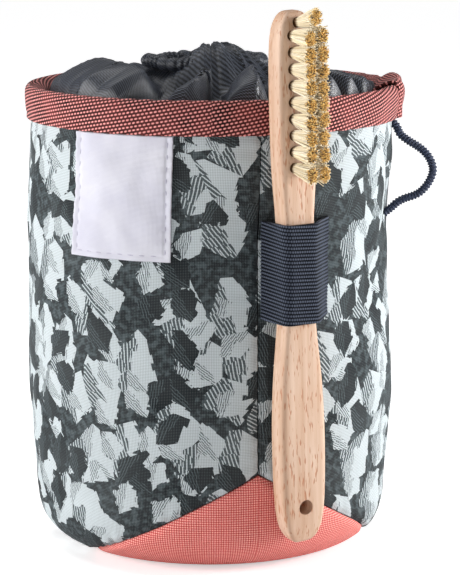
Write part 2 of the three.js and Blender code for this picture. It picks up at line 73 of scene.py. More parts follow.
def applyModifiers(piece):
    pick(piece)
    for name in [modifier.name for modifier in piece.modifiers]:
        bpy.ops.object.modifier_apply(modifier=name)


def thicken(piece, thickness, lining=0):
    solid = piece.modifiers.new("thickness", "SOLIDIFY")
    solid.thickness = thickness
    solid.offset = -1
    solid.material_offset = lining
    applyModifiers(piece)


def roundEdges(piece, levels):
    smoother = piece.modifiers.new("rounding", "SUBSURF")
    smoother.levels = levels
    smoother.render_levels = levels
    applyModifiers(piece)


def smoothFaces(piece, angle):
    pick(piece)
    bpy.ops.object.shade_smooth_by_angle(angle=math.radians(angle))


def pieceFrom(name, points, faces):
    mesh = bpy.data.meshes.new(name)
    mesh.from_pydata([tuple(point) for point in points], [], faces)
    mesh.update()
    piece = bpy.data.objects.new(name, mesh)
    scene.collection.objects.link(piece)
    return piece


def mergeDoubles(piece):
    work = bmesh.new()
    work.from_mesh(piece.data)
    bmesh.ops.remove_doubles(work, verts=work.verts, dist=0.001 * mm)
    work.to_mesh(piece.data)
    work.free()


# A grid of points, rows by columns, as a skin. Cloth holds each point's place on the flat cloth.
def gridPiece(name, points, cloth, wraps=False, tube=False):
    rows, columns = points.shape[:2]
    spans = columns if wraps else columns - 1
    lifts = rows if tube else rows - 1
    faces = []
    places = []
    for r in range(lifts):
        up = (r + 1) % rows
        for c in range(spans):
            across = (c + 1) % columns
            corners = ((r, c), (r, across), (up, across), (up, c))
            faces.append([row * columns + column for row, column in corners])
            for row, column in ((r, c), (r, c + 1), (r + 1, c + 1), (r + 1, c)):
                places.append(cloth[row, column])
    piece = pieceFrom(name, points.reshape(-1, 3), faces)
    layer = piece.data.uv_layers.new(name="cloth")
    layer.data.foreach_set("uv", np.array(places, np.float32).ravel())
    for polygon in piece.data.polygons:
        polygon.use_smooth = True
    return piece


# Copies of one small piece, one for each matrix, as a single object
def copiesOf(name, source, matrices):
    work = bmesh.new()
    for matrix in matrices:
        mesh = source.data.copy()
        mesh.transform(matrix)
        work.from_mesh(mesh)
        bpy.data.meshes.remove(mesh)
    mesh = bpy.data.meshes.new(name)
    work.to_mesh(mesh)
    work.free()
    bpy.data.objects.remove(source)
    piece = bpy.data.objects.new(name, mesh)
    scene.collection.objects.link(piece)
    return piece


# How far along a line each of its points is
def stepsAlong(line):
    return np.r_[0, np.cumsum(np.linalg.norm(np.diff(np.array(line, float), axis=0), axis=1))]


# Points at even steps along a line, and the line's length
def evenlyAlong(line, count):
    line = np.array(line, float)
    steps = stepsAlong(line)
    at = np.linspace(0, steps[-1], count)
    return np.stack([np.interp(at, steps, line[:, k]) for k in range(3)], 1), steps[-1]


def curveThrough(points, count):
    ends = np.array(points, float)
    padded = np.vstack([2 * ends[0] - ends[1], ends, 2 * ends[-1] - ends[-2]])
    fine = []
    for i in range(len(ends) - 1):
        a, b, c, d = padded[i:i + 4]
        for t in np.linspace(0, 1, 24, endpoint=False):
            fine.append(0.5 * (2 * b + (c - a) * t + (2 * a - 5 * b + 4 * c - d) * t ** 2
                               + (3 * b - a - 3 * c + d) * t ** 3))
    return evenlyAlong(fine + [ends[-1]], count)


# Level directions across a path that don't twist
def framesAlong(path):
    ways = np.gradient(path, axis=0)
    ways /= np.linalg.norm(ways, axis=1, keepdims=True)
    side = np.cross(ways[0], [0, 1, 0])
    sides = []
    for way in ways:
        side = side - way * side.dot(way)
        side = side / np.linalg.norm(side)
        sides.append(side)
    sides = np.array(sides)
    return sides, np.cross(ways, sides)


# Reads a column of a table at places between its rows, as one smooth curve through them.
def tableAt(rows, at, column):
    keys = np.array([row[0] for row in rows], float)
    values = np.array([row[column] for row in rows], float)
    low = np.maximum(np.arange(len(rows)) - 1, 0)
    high = np.minimum(np.arange(len(rows)) + 1, len(rows) - 1)
    slopes = (values[high] - values[low]) / (keys[high] - keys[low])
    upper = np.clip(np.searchsorted(keys, at), 1, len(rows) - 1)
    span = keys[upper] - keys[upper - 1]
    share = np.clip((at - keys[upper - 1]) / span, 0, 1)
    bend = share * (1 - share) * span
    straight = values[upper - 1] + (values[upper] - values[upper - 1]) * ease(share)
    return straight + bend * ((1 - share) * slopes[upper - 1] - share * slopes[upper])


# Coordinates joined along a last axis
def stacked(*parts):
    return np.stack(np.broadcast_arrays(*parts), -1)


def ease(share):
    share = np.clip(share, 0, 1)
    return share * share * (3 - 2 * share)


def turnBetween(a, b):
    return (a - b + 180) % 360 - 180


def fullTurn(count):
    return np.linspace(0, 2 * math.pi, count, endpoint=False)


rippleWaves = 14


# A soft random field over space: its waves are about one size long.
def ripple(points, size, seed):
    dice = np.random.default_rng(seed)
    total = 0
    for _ in range(rippleWaves):
        way = dice.normal(size=3)
        way *= dice.uniform(0.7, 1.4) * 2 * math.pi / (size * np.linalg.norm(way))
        total = total + np.sin(points @ way + dice.uniform(0, 2 * math.pi))
    return total / math.sqrt(rippleWaves / 2)


# The bag's wall: every soft piece on it is laid on wallPoint.
bag = {
    "height": 168.5 * mm,
    "width": 130 * mm,
    "depth": 114 * mm,
    "wall": 3 * mm,
    "corner": 18 * mm,
    "dent": 2 * mm,
    "gap": 0.3 * mm,
    "crown": 2.4 * mm,
    "seam": 15.3 * degree,
    "seamPeak": 47 * mm,
    "seamLow": 4 * mm,
    "seamReach": 72 * degree,
    "softness": 0.28 * mm,
    "ovalWidth": 65 * mm,
    "ovalDepth": 57 * mm,
    "clothRadius": 63.5 * mm,
}
wallTop = bag["height"] - bag["crown"] - bag["gap"]
cornerRun = bag["corner"] * math.pi / 2
wallTopRun = cornerRun + wallTop - bag["corner"]

# Share of the height, width, depth, lean
wallSections = [
    (0.0, 0.995, 0.985, -0.014),
    (0.12, 1.01, 0.985, -0.016),
    (0.3, 1.03, 0.99, -0.026),
    (0.5, 1.023, 0.99, -0.026),
    (0.68, 1.012, 0.995, -0.026),
    (0.87, 1.004, 1.0, -0.01),
    (1.0, 1.0, 1.0, 0.0),
]
# Place round, height as a share, spread round, spread up, depth
wallDents = [
    (82, 0.73, 11, 0.08, 1.0),
    (98, 0.63, 13, 0.09, 0.7),
    (62, 0.56, 12, 0.1, 0.55),
    (-62, 0.42, 16, 0.12, 0.5),
    (-150, 0.5, 22, 0.14, 0.6),
    (155, 0.6, 20, 0.12, 0.5),
]
# Soft creases: from one place and height to another, width in mm, depth in mm (below 0 a ridge)
wallCreases = [
    (44, 128, 76, 99, 5.5, 1.1),
    (40, 120, 70, 92, 5, -0.7),
    (83, 154, 86, 122, 1.6, 0.9),
    (79, 150, 80, 128, 1.8, -0.6),
    (86, 124, 66, 112, 1.6, 0.8),
    (86, 122, 74, 104, 1.8, 0.7),
    (87, 121, 88, 98, 1.7, 0.6),
    (66, 92, 84, 70, 5, 0.5),
    (-78, 104, -48, 84, 6, 0.5),
    (-80, 62, -52, 74, 6, 0.45),
    (18, 120, 40, 96, 5, 0.35),
    (-20, 60, 8, 72, 7, 0.35),
    (150, 120, 110, 88, 6, 0.8),
    (-110, 110, -160, 84, 6, 0.7),
    (178, 66, 130, 48, 7, 0.6),
]


def wallSizes(height):
    share = np.clip((height - bag["corner"]) / (wallTop - bag["corner"]), 0, 1)
    width = bag["width"] / 2 * tableAt(wallSections, share, 1)
    depth = bag["depth"] / 2 * tableAt(wallSections, share, 2)
    lean = bag["width"] / 2 * tableAt(wallSections, share, 3)
    return width, depth, lean


def dentAt(angle, height):
    depth = np.zeros(np.broadcast(angle, height).shape)
    for place, up, spread, rise, share in wallDents:
        across = turnBetween(angle / degree, place) / spread
        lift = (height / bag["height"] - up) / rise
        depth += share * bag["dent"] * np.exp(-across ** 2 - lift ** 2)
    return depth


def creaseAt(angle, height):
    depth = np.zeros(np.broadcast(angle, height).shape)
    around = bag["width"] / 2 * degree / mm
    for fromAngle, fromUp, toAngle, toUp, width, deep in wallCreases:
        x = turnBetween(angle / degree, fromAngle) * around
        y = height / mm - fromUp
        wayX = turnBetween(toAngle, fromAngle) * around
        wayY = toUp - fromUp
        long = wayX ** 2 + wayY ** 2
        share = np.clip((x * wayX + y * wayY) / long, 0, 1)
        off = np.hypot(x - share * wayX, y - share * wayY) / width
        depth += deep * mm * np.exp(-off ** 2) * (0.35 + 0.65 * np.sin(math.pi * share))
    return depth


# A place on a plain oval of the bag's size, for the random fields
def ovalPlace(angle, height):
    return stacked(np.sin(angle) * bag["ovalWidth"], -np.cos(angle) * bag["ovalDepth"], height)


# A place on the wall: run is the way up it from the edge of the underside.
def wallPoint(angle, run, inward):
    angle, run, inward = np.broadcast_arrays(angle, run, inward)
    turned = np.clip(run / bag["corner"], 0, math.pi / 2)
    radius = bag["corner"] - inward
    rise = np.maximum(run - cornerRun, 0)
    height = bag["corner"] - radius * np.cos(turned) + rise
    width, depth, lean = wallSizes(bag["corner"] + rise)
    rough = ovalPlace(angle, height)
    level = bag["corner"] - bag["corner"] * np.cos(turned) + rise
    fade = ease((bag["height"] - 9 * mm - level) / (14 * mm)) * ease((run - 0.01) / 0.02)
    soft = bag["softness"] * (ripple(rough, 0.045, 3) + 0.5 * ripple(rough, 0.02, 4)) * fade
    dent = np.where(rise > 0, dentAt(angle, height) + creaseAt(angle, level) * fade, 0) + soft
    inset = bag["corner"] - radius * np.sin(turned) - np.minimum(run, 0) + dent
    x = lean + (width - inset) * np.sin(angle)
    y = -(depth - inset) * np.cos(angle)
    return stacked(x, y, height)


def runOfHeight(height):
    return cornerRun + height - bag["corner"]


def seamRun(angle):
    away = np.abs(turnBetween((angle - bag["seam"]) / degree, 0)) * degree
    nearest = np.minimum(away, math.pi - away)
    drop = np.clip(nearest / bag["seamReach"], 0, 1)
    return bag["seamPeak"] - (bag["seamPeak"] - bag["seamLow"]) * drop


# Cord loop at the right: navy cord with ribs that wind round it.
loop = {"diameter": 3.2 * mm, "ribs": 1.15 * mm, "ribDepth": 0.26, "rings": 460, "sides": 20}
cordRoute = [
    (62.4, -5.8, 156.4),
    (64.2, -6.0, 154.9),
    (65.9, -6.2, 153.0),
    (67.4, -6.4, 150.2),
    (70.4, -6.8, 147.9),
    (73.2, -7.0, 146.2),
    (75.7, -7.2, 144.3),
    (77.7, -7.4, 141.9),
    (78.9, -7.6, 139.1),
    (79.0, -7.8, 136.6),
    (78.1, -8.0, 134.0),
    (76.5, -8.2, 131.5),
    (74.3, -8.4, 129.4),
    (71.8, -8.6, 128.2),
    (68.9, -8.9, 127.3),
    (66.4, -9.2, 126.0),
    (64.3, -9.4, 124.2),
    (61.4, -9.8, 122.0),
]


def makeCordLoop():
    path, length = curveThrough(np.array(cordRoute) * mm, loop["rings"])
    side, other = framesAlong(path)
    turn = fullTurn(loop["sides"])
    along = np.linspace(0, length, loop["rings"])
    wave = np.cos(2 * math.pi * along[:, None] / loop["ribs"] + turn[None, :])
    ribbed = np.sign(wave) * np.abs(wave) ** 0.7
    radius = loop["diameter"] / 2 * (1 - loop["ribDepth"] * (0.5 - 0.5 * ribbed))
    points = (path[:, None] + radius[..., None] * (np.cos(turn)[None, :, None] * side[:, None]
                                                   + np.sin(turn)[None, :, None] * other[:, None]))
    closing = [np.repeat(path[i][None, None], loop["sides"], 1) for i in (0, -1)]
    points = np.concatenate([closing[0], points, closing[1]])
    along = np.r_[0, along, length]
    around = np.linspace(0, math.pi * loop["diameter"], loop["sides"] + 1)
    cloth = stacked(*np.meshgrid(around, along))
    piece = gridPiece("cord_loop_ribbed", points, cloth, wraps=True)
    mergeDoubles(piece)
    return piece


cordLoop = makeCordLoop()
print("cord loop made")


# Side panels: padded and lined, rolled in at their seams.
panel = {
    "columns": 200,
    "rows": 150,
    "thickness": 2.8 * mm,
    "roll": 0.9 * mm,
    "rollReach": 1.5 * mm,
    "seamGap": 0.35 * mm,
    "pucker": 0.25 * mm,
    "puckerPitch": 5.5 * mm,
    "puckerReach": 6 * mm,
    "radius": 62 * mm,
}


def spread(count, share):
    even = np.linspace(0, 1, count)
    return (1 - share) * even + share * ease(even)


def rollAt(reach):
    return panel["roll"] * np.exp(-(reach / panel["rollReach"]) ** 2)


def puckerAt(reach, along):
    wave = np.sin(along * 2 * math.pi / panel["puckerPitch"])
    return np.exp(-(reach / panel["puckerReach"]) ** 2) * wave


def makeSidePanel(name, start):
    halfGap = panel["seamGap"] / bag["width"]
    across = spread(panel["columns"], 0.7)
    angle = (start + halfGap + (math.pi - 2 * halfGap) * across)[None, :]
    low = seamRun(angle) + 1.2 * bag["gap"]
    up = spread(panel["rows"], 0.55)[:, None]
    run = low + (wallTopRun - low) * up
    fromSeam = np.minimum(across, 1 - across)[None, :] * math.pi * panel["radius"]
    fromBase = run - low
    roll = rollAt(fromSeam) + rollAt(fromBase)
    drawn = puckerAt(fromBase, angle * panel["radius"]) + puckerAt(fromSeam, run)
    points = wallPoint(angle, run, roll + panel["pucker"] * drawn)
    cloth = stacked(angle * bag["clothRadius"], run)
    piece = gridPiece(name, points, cloth)
    thicken(piece, panel["thickness"], lining=1)
    return piece


sidePanelRight = makeSidePanel("side_panel_right_padded", bag["seam"])
sidePanelLeft = makeSidePanel("side_panel_left_padded", bag["seam"] + math.pi)
print("side panels made")


# Base panel: the flat underside, the rounded corner and the two peaks.
base = {"columns": 300, "inside": 26, "rows": 64, "reach": 47 * mm}


def makeBasePanel():
    angle = fullTurn(base["columns"])[None, :] + bag["seam"]
    middle = np.array([wallSizes(np.array(0.0))[2], 0, 0])
    rim = wallPoint(angle, 0, 0)
    shares = np.linspace(0, 1, base["inside"], endpoint=False)[:, None, None]
    flat = middle + (rim - middle) * shares
    up = spread(base["rows"], 0.4)[:, None]
    top = seamRun(angle)
    run = top * up
    edge = rollAt(top - run)
    side = wallPoint(angle, run, edge)
    points = np.concatenate([flat, side])
    wrapped = np.linspace(0, 2 * math.pi, base["columns"] + 1)[None, :] + bag["seam"]
    inner = np.broadcast_to(shares[:, 0] * base["reach"], (base["inside"], base["columns"] + 1))
    rings = np.vstack([inner, base["reach"] + seamRun(wrapped) * up])
    turned = np.broadcast_to(wrapped, rings.shape)
    plan = stacked(rings * np.sin(turned), -rings * np.cos(turned))
    wall = stacked(turned * bag["clothRadius"], rings)
    cloth = np.where((rings > base["reach"])[..., None], wall, plan)
    piece = gridPiece("base_panel_canvas", points, cloth, wraps=True)
    mergeDoubles(piece)
    thicken(piece, panel["thickness"], lining=1)
    return piece


basePanel = makeBasePanel()
print("base panel made")


# Rim binding: twill tape folded over the rim, and its lapped end at the right.
binding = {
    "height": 12 * mm,
    "thickness": 1.6 * mm,
    "skin": 1.0 * mm,
    "columns": 420,
    "around": 44,
    "endFrom": 80 * degree,
    "endTo": 101 * degree,
    "endThickness": 1.2 * mm,
    "wobble": 0.16 * mm,
}
tapeOutside = [(0.85, 0.0), (1.1, 0.4), (1.1, 0.8), (0.35, 0.97)]
tapeInside = [(0.1, 0.98), (0.97, 0.82), (1.05, 0.45), (1.02, 0.1)]


def tapeSection(extra, inside, count):
    inner = bag["wall"] + bag["gap"] + binding["thickness"]
    line = []
    for out, up in tapeOutside:
        line.append((bag["gap"] + binding["thickness"] * out + extra, tapeRise(up, extra), 0))
    for out, up in inside:
        line.append((-(inner + extra) * out, tapeRise(up, extra), 0))
    path, length = curveThrough(line, count)
    return path[:, :2], np.linspace(0, length, count)


def tapeRise(up, extra):
    return up * binding["height"] + extra * max(up - 0.8, 0) * 5


def rimPoint(angle, away, up):
    height = bag["height"] - binding["height"] + up
    points = wallPoint(angle, np.minimum(runOfHeight(height), wallTopRun), -away)
    points[..., 2] = height
    return points


# The tape is drawn tight at the left and gathers up behind its lapped end.
def tapeWobble(angle, along):
    turn = angle / degree
    rough = ovalPlace(angle, along + 0 * angle)
    gathered = np.exp(-(turnBetween(turn, 113) / 15) ** 2)
    pleats = np.sin(turn * 2 * math.pi / 9 + along / mm * 0.35)
    flare = np.exp(-(turnBetween(turn, -84) / 16) ** 2)
    return (binding["wobble"] * ripple(rough, 0.018, 8) + gathered * pleats * 0.75 * mm
            + flare * 0.9 * mm * ease(along / binding["height"]))


def makeBinding():
    section, along = tapeSection(0, tapeInside, binding["around"])
    angle = fullTurn(binding["columns"])[None, :]
    wobble = tapeWobble(angle, along[:, None])
    hem = np.exp(-((along - 1.6 * mm) / (0.7 * mm)) ** 2)[:, None] * 0.22 * mm
    away = section[:, 0][:, None] + np.where(section[:, 0][:, None] > -1.5 * mm, wobble, 0) - hem
    points = rimPoint(angle, away, section[:, 1][:, None] + 0 * angle)
    around = np.linspace(0, 2 * math.pi, binding["columns"] + 1)[None, :] * bag["clothRadius"]
    cloth = stacked(around, along[:, None])
    piece = gridPiece("rim_binding_tape", points, cloth, wraps=True)
    thicken(piece, binding["skin"])
    return piece


def makeBindingEnd():
    extra = bag["gap"] + binding["endThickness"]
    section, along = tapeSection(extra, tapeInside[:3], 40)
    angle = np.linspace(binding["endFrom"], binding["endTo"], 60)[None, :]
    share = (angle - binding["endFrom"]) / (binding["endTo"] - binding["endFrom"])
    tuck = 1.1 * mm * np.exp(-(share / 0.09) ** 2)
    lift = 1.0 * mm * ease((share - 0.6) / 0.4) * ease(along / (8 * mm))[:, None]
    crease = 0.45 * mm * np.sin(share * 3 * math.pi + along[:, None] / mm * 0.5)
    away = section[:, 0][:, None] - tuck + lift + crease * ease(share * 3)
    points = rimPoint(angle, away, section[:, 1][:, None] + lift * 0.8)
    cloth = stacked(angle * bag["clothRadius"] + 0.4, along[:, None])
    piece = gridPiece("binding_overlap_fold", points, cloth)
    thicken(piece, binding["skin"])
    return piece


rimBinding = makeBinding()
bindingEnd = makeBindingEnd()
print("binding made")


# Collar: thin cloth sewn inside the rim and drawn together at the neck, in deep folds.
collar = {
    "cloth": 0.5 * mm,
    "seat": 10 * mm,
    "rise": 5.5 * mm,
    "fold": 19 * mm,
    "neck": 20.5 * mm,
    "neckOffset": -3 * mm,
    "hemWidth": 4.6 * mm,
    "hemHeight": 4.8 * mm,
    "ruffles": 43,
    "ruffleDepth": 0.6 * mm,
    "columns": 560,
    "rows": 84,
    "pinch": 0.75,
    "crease": 0.17 * mm,
    "ridge": 0.8 * mm,
    "flapPlace": 16,
    "flapWidth": 40,
    "flapRise": 11.5 * mm,
    "flapReach": 7.5 * mm,
    "flatLength": 0.36,
    "flatReach": 0.05,
    "hemSides": 26,
    "hemReach": 15 * mm,
}
# Share of the way, how far in, how far up in the valleys between the folds
collarLine = [
    (0.0, 0.0, 0.0),
    (0.14, 0.01, 0.1),
    (0.29, 0.05, 0.12),
    (0.43, 0.18, 0.14),
    (0.57, 0.36, 0.22),
    (0.71, 0.6, 0.42),
    (0.86, 0.86, 0.74),
    (1.0, 1.0, 0.92),
]
# Each fold: the valley before it (place, turn on the way to the neck, width), its crest (place,
# turn, height, where it is highest, lean), how round it is, and the fullness of its two sides
collarFolds = [
    (-98, 8, 2, -58, 14, 0.86, 0.58, 0.12, 2.2, 0.62, 0.6),
    (-27, 4, 8, -16, 24, 0.88, 0.5, 0.25, 1.0, 1.2, 0.7),
    (-3, 12, 5, 13, 4, 0.95, 0.47, 0.3, 1.2, 0.6, 1.0),
    (23, 4, 8, 34, -4, 0.8, 0.5, -0.3, 1.1, 0.8, 0.9),
    (42, -6, 2, 48, -10, 0.86, 0.45, 0.3, 1.3, 0.9, 0.8),
    (54, -8, 1, 60, -12, 0.78, 0.42, 0.3, 1.3, 0.9, 0.8),
    (66, -8, 1, 72, -12, 0.66, 0.4, 0.3, 1.3, 0.9, 0.8),
    (80, -4, 2, 89, 0, 0.48, 0.4, -0.3, 1.6, 0.8, 0.7),
    (98, 4, 2, 107, 6, 0.5, 0.42, 0.4, 1.3, 0.9, 0.7),
    (117, 2, 3, 128, 2, 0.52, 0.4, -0.4, 1.6, 0.7, 0.8),
    (139, -4, 3, 148, -6, 0.46, 0.42, 0.4, 1.4, 0.8, 0.8),
    (157, 2, 3, 169, 4, 0.52, 0.4, 0.4, 1.7, 0.7, 0.8),
    (181, 0, 3, 190, 0, 0.46, 0.42, -0.4, 1.4, 0.8, 0.8),
    (200, 4, 3, 211, 6, 0.58, 0.42, 0.4, 1.6, 0.7, 0.8),
    (222, 0, 3, 231, 0, 0.55, 0.44, -0.3, 1.4, 0.8, 0.8),
    (240, 6, 2, 250, 6, 0.6, 0.45, 0.3, 1.6, 0.8, 0.8),
]


def foldsAt(turn, along):
    height = np.zeros(turn.shape)
    shift = np.zeros(turn.shape)
    count = len(collarFolds)
    end = 0.97 - 0.17 * np.exp(-(turnBetween(turn, 0) / 55) ** 4)
    for i, fold in enumerate(collarFolds):
        valley, valleyTurn, wide, crest, crestTurn, tall, peak, lean, roundness, left, right = fold
        after = collarFolds[(i + 1) % count]
        here = crest + crestTurn * along
        off = turnBetween(turn, here)
        low = turnBetween(valley + valleyTurn * along, here) + wide / 2
        high = turnBetween(after[0] + after[1] * along, here) - after[2] / 2
        phase = np.clip(np.where(off < 0, off / -low, off / high), -1, 1)
        inside = np.abs(phase) < 1
        span = np.where(off < 0, -low, high)
        slope = np.sqrt(phase ** 2 + 0.002) / math.sqrt(1.002)
        full = np.where(off < 0, left, right)
        swell = np.clip(1 - slope ** roundness, 0, 1) ** full
        way = ease(0.24 + 0.76 * along / peak)
        back = 0.06 + 0.94 * ease((end - along) / (end - peak))
        amount = tall * way * back
        height = np.where(inside, amount * swell, height)
        push = collar["pinch"] * np.sin(math.pi * phase) * span / math.pi * amount
        tip = lean * span * amount * swell ** 1.5
        shift = np.where(inside, push + tip, shift)
    return height, shift


# Low folds that run round the neck: place, width, share of the way, reach along it, height in mm
neckFolds = [
    (62, 16, 0.78, 0.12, 3.0),
    (170, 40, 0.8, 0.12, 1.5),
]
# Thin creases that fan out from the rim: place, turn on the way to the neck, width, height in mm
fanCreases = [
    (-57, 22, 1.9, 1.7),
    (-51, 19, 1.6, -1.0),
    (-45, 17, 1.5, 0.7),
    (-39, 14, 1.5, -0.7),
    (-64, 20, 1.6, -0.9),
    (-71, 14, 1.6, 0.9),
    (-78, 10, 1.5, -0.6),
    (-84, 6, 1.4, 0.6),
    (-20, 30, 1.3, 0.9),
    (-11, 16, 1.4, -0.6),
    (3, 10, 1.5, 0.6),
    (9, 8, 1.5, -0.6),
    (17, 1, 1.2, 0.9),
    (44, -14, 1.4, 0.8),
    (53, -14, 1.4, -0.8),
    (60, -16, 1.4, 0.8),
    (69, -16, 1.3, 0.7),
]


def collarAt(turn, along):
    height, shift = foldsAt(turn, along)
    angle = (turn + shift) * degree
    inward = tableAt(collarLine, along, 1)
    up = tableAt(collarLine, along, 2)
    inset = 1.05 * (bag["wall"] + bag["gap"] + binding["thickness"]) + bag["gap"]
    neck = collar["neck"] - 1.2 * mm
    flat = stacked(turn * 0.7 * mm, along * 16 * mm, 0 * turn)
    fine = ripple(flat, 0.006, 21) * 0.55 + ripple(flat, 0.0125, 22)
    warp = turn * degree * 19 + 1.6 * ripple(flat, 0.024, 23) + 2.2 * along
    ridges = (1 - np.abs(np.sin(warp))) ** 1.6 * ease(0.45 + 0.6 * ripple(flat, 0.02, 24))
    gather = np.sin(turn * degree * 88 + 2.2 * ripple(flat, 0.03, 25))
    edge = ease((0.34 - along) / 0.2) + ease((along - 0.74) / 0.2)
    creases = collar["crease"] * (fine * (0.5 + 0.5 * ease(along * 3)) + 0.8 * gather * edge)
    creases = creases + collar["ridge"] * ridges * ease(along * 3) * ease((1.02 - along) * 4)
    for place, wide, where, reach, tall in neckFolds:
        off = turnBetween(turn, place) / wide
        creases = creases + tall * mm * np.exp(-off ** 4 - ((along - where) / reach) ** 2)
    for place, bend, wide, tall in fanCreases:
        off = turnBetween(turn, place + bend * along + 2 * ripple(flat, 0.03, 27)) / wide
        reach = ease(along * 5) * ease((0.62 - along) / 0.35)
        creases = creases + tall * mm * np.exp(-np.abs(off) ** 1.5) * reach
    # A wide flap lies over the front of the drawn neck.
    flap = np.exp(-(turnBetween(turn, collar["flapPlace"]) / collar["flapWidth"]) ** 4)
    over = flap * ease((along - 0.72) / 0.2)
    creases = creases + over * (collar["flapRise"] - 1.5 * mm * ease((along - 0.93) / 0.07))
    neck = neck - collar["flapReach"] * flap * ease((along - 0.8) / 0.2)
    width = (bag["width"] / 2 - inset) * (1 - inward) + neck * inward
    depth = (bag["depth"] / 2 - inset) * (1 - inward) + neck * inward
    top = collar["seat"] + collar["rise"]
    fold = height * collar["fold"] + creases
    high = bag["height"] - collar["seat"] + up * top + fold * ease(along / 0.3)
    out = 1 - 0.05 * (height - 0.4) * ease(1 - inward)
    x = width * out * np.sin(angle) + collar["neckOffset"] * inward
    y = -depth * out * np.cos(angle)
    return stacked(x, y, high)


def makeCollar():
    turn = np.linspace(0, 360, collar["columns"], endpoint=False)[None, :]
    along = np.linspace(0, 1, collar["rows"])[:, None]
    turn, along = np.broadcast_arrays(turn, along)
    points = collarAt(turn, along)
    around = np.linspace(0, collar["flatLength"], collar["columns"] + 1)[None, :]
    cloth = stacked(around, along[:, :1] * collar["flatReach"])
    piece = gridPiece("collar_cloth", points, cloth, wraps=True)
    thicken(piece, collar["cloth"])
    return piece


def makeHem():
    columns = collar["ruffles"] * 18
    sides = collar["hemSides"]
    angle = fullTurn(columns)[None, :]
    turn = fullTurn(sides)[:, None]
    ring = stacked(np.sin(angle), np.cos(angle), 0 * angle) * 0.02
    uneven = ripple(ring, 0.011, 31)
    phase = collar["ruffles"] * angle + 2.4 * uneven + 0.7 * np.sin(turn)
    swell = (np.abs(np.cos(phase / 2)) ** 0.8 * 2 - 1.1) * collar["ruffleDepth"]
    swell = swell * (1 + 0.3 * ripple(ring, 0.017, 32))
    squeeze = 0.24 * np.sin(phase) / collar["ruffles"]
    out = collar["neck"] + (collar["hemWidth"] / 2 + swell) * np.cos(turn)
    up = (collar["hemHeight"] / 2 + swell * 0.9) * np.sin(turn) + 0.5 * mm * ripple(ring, 0.024, 33)
    seat = bag["height"] - collar["seat"] + (collar["seat"] + collar["rise"]) * collarLine[-1][2]
    height = seat + bag["gap"] + (collar["hemHeight"] + collar["ruffleDepth"]) / 2 + up
    x = out * np.sin(angle + squeeze) + collar["neckOffset"]
    y = -out * np.cos(angle + squeeze)
    points = stacked(x, y, height)
    wrinkle = np.abs(ripple(points, 0.006, 34)) ** 0.7 * 0.22 * mm
    points = points - stacked(np.sin(angle) * np.cos(turn), -np.cos(angle) * np.cos(turn),
                              np.sin(turn)) * wrinkle[..., None]
    around = np.linspace(0, collar["flatLength"], columns + 1)[None, :]
    cloth = stacked(around, np.linspace(0, collar["hemReach"], sides + 1)[:, None])
    piece = gridPiece("collar_hem_ruffled", points, cloth, wraps=True, tube=True)
    work = bmesh.new()
    work.from_mesh(piece.data)
    bmesh.ops.recalc_face_normals(work, faces=work.faces)
    work.to_mesh(piece.data)
    work.free()
    return piece


collarCloth = makeCollar()
collarHem = makeHem()
print("collar made")


# Label: sewn on at three sides, its top edge under the binding. It stays blank.
label = {
    "from": -44.2 * degree,
    "to": -10.8 * degree,
    "height": 43 * mm,
    "width": 37 * mm,
    "thickness": 0.8 * mm,
    "columns": 90,
    "rows": 100,
    "inset": 1.9 * mm,
    "stitch": 2.6 * mm,
    "stitchGap": 1.5 * mm,
}
labelTop = bag["height"] - binding["height"] - bag["gap"]


def labelAt(across, up, away):
    narrow = 1.0 + 0.025 * (0.5 - up)
    middle = (label["from"] + label["to"]) / 2
    angle = middle + (label["to"] - label["from"]) * (across - 0.5) * narrow
    height = labelTop - label["height"] * (1 - up)
    fromSide = np.minimum(across, 1 - across)
    edge = np.minimum(fromSide * label["width"], up * label["height"]) / mm
    sewn = np.exp(-((edge - 1.9) / 0.55) ** 2) * 0.25 * mm
    curl = np.exp(-(edge / 0.9) ** 2) * 0.12 * mm
    rough = stacked(across * label["width"], up * label["height"], 0 * up)
    wave = 0.1 * mm * ripple(rough, 0.012, 41)
    ruck = 0.16 * mm * np.sin(up * 2 * math.pi * 10.3) * np.exp(-(fromSide / 0.09) ** 2)
    return wallPoint(angle, runOfHeight(height), -(away + wave + ruck - sewn + curl))


def makeLabel():
    across = np.linspace(0, 1, label["columns"])[None, :]
    up = np.linspace(0, 1, label["rows"])[:, None]
    across, up = np.broadcast_arrays(across, up)
    points = labelAt(across, up, bag["gap"] + label["thickness"])
    cloth = stacked(across * label["width"], up * label["height"])
    piece = gridPiece("side_label_blank", points, cloth)
    thicken(piece, 0.55 * mm)
    return piece


# One stitch: a short thread with round ends, its ends dipping into the cloth
def makeStitch(length, thickness):
    clearSelection()
    bpy.ops.mesh.primitive_uv_sphere_add(segments=6, ring_count=6, radius=0.5)
    stitch = bpy.context.object
    bpy.ops.object.mode_set(mode="EDIT")
    bpy.ops.mesh.select_all(action="SELECT")
    bpy.ops.transform.resize(value=(thickness, thickness, length))
    bpy.ops.object.mode_set(mode="OBJECT")
    for vertex in stitch.data.vertices:
        vertex.co.y += abs(vertex.co.z / length) ** 2 * thickness * 1.4
    for polygon in stitch.data.polygons:
        polygon.use_smooth = True
    return stitch


def stitchesAlong(points, outward, length, gap):
    path, total = curveThrough(points, max(int(stepsAlong(points)[-1] / (0.4 * mm)), 40))
    at = stepsAlong(path)

    def placeAt(reach):
        return Vector([np.interp(reach, at, path[:, k]) for k in range(3)])

    matrices = []
    middle = gap
    while middle + length / 2 < total:
        place = placeAt(middle)
        way = (placeAt(middle + length / 2) - placeAt(middle - length / 2)).normalized()
        out = Vector(outward(place))
        out = (out - way * out.dot(way)).normalized()
        turned = Matrix((way.cross(-out), -out, way)).transposed().to_4x4()
        matrices.append(Matrix.Translation(place) @ turned)
        middle += length + gap
    return matrices


def outOfBag(place):
    return (place.x, place.y * 1.3, 0)


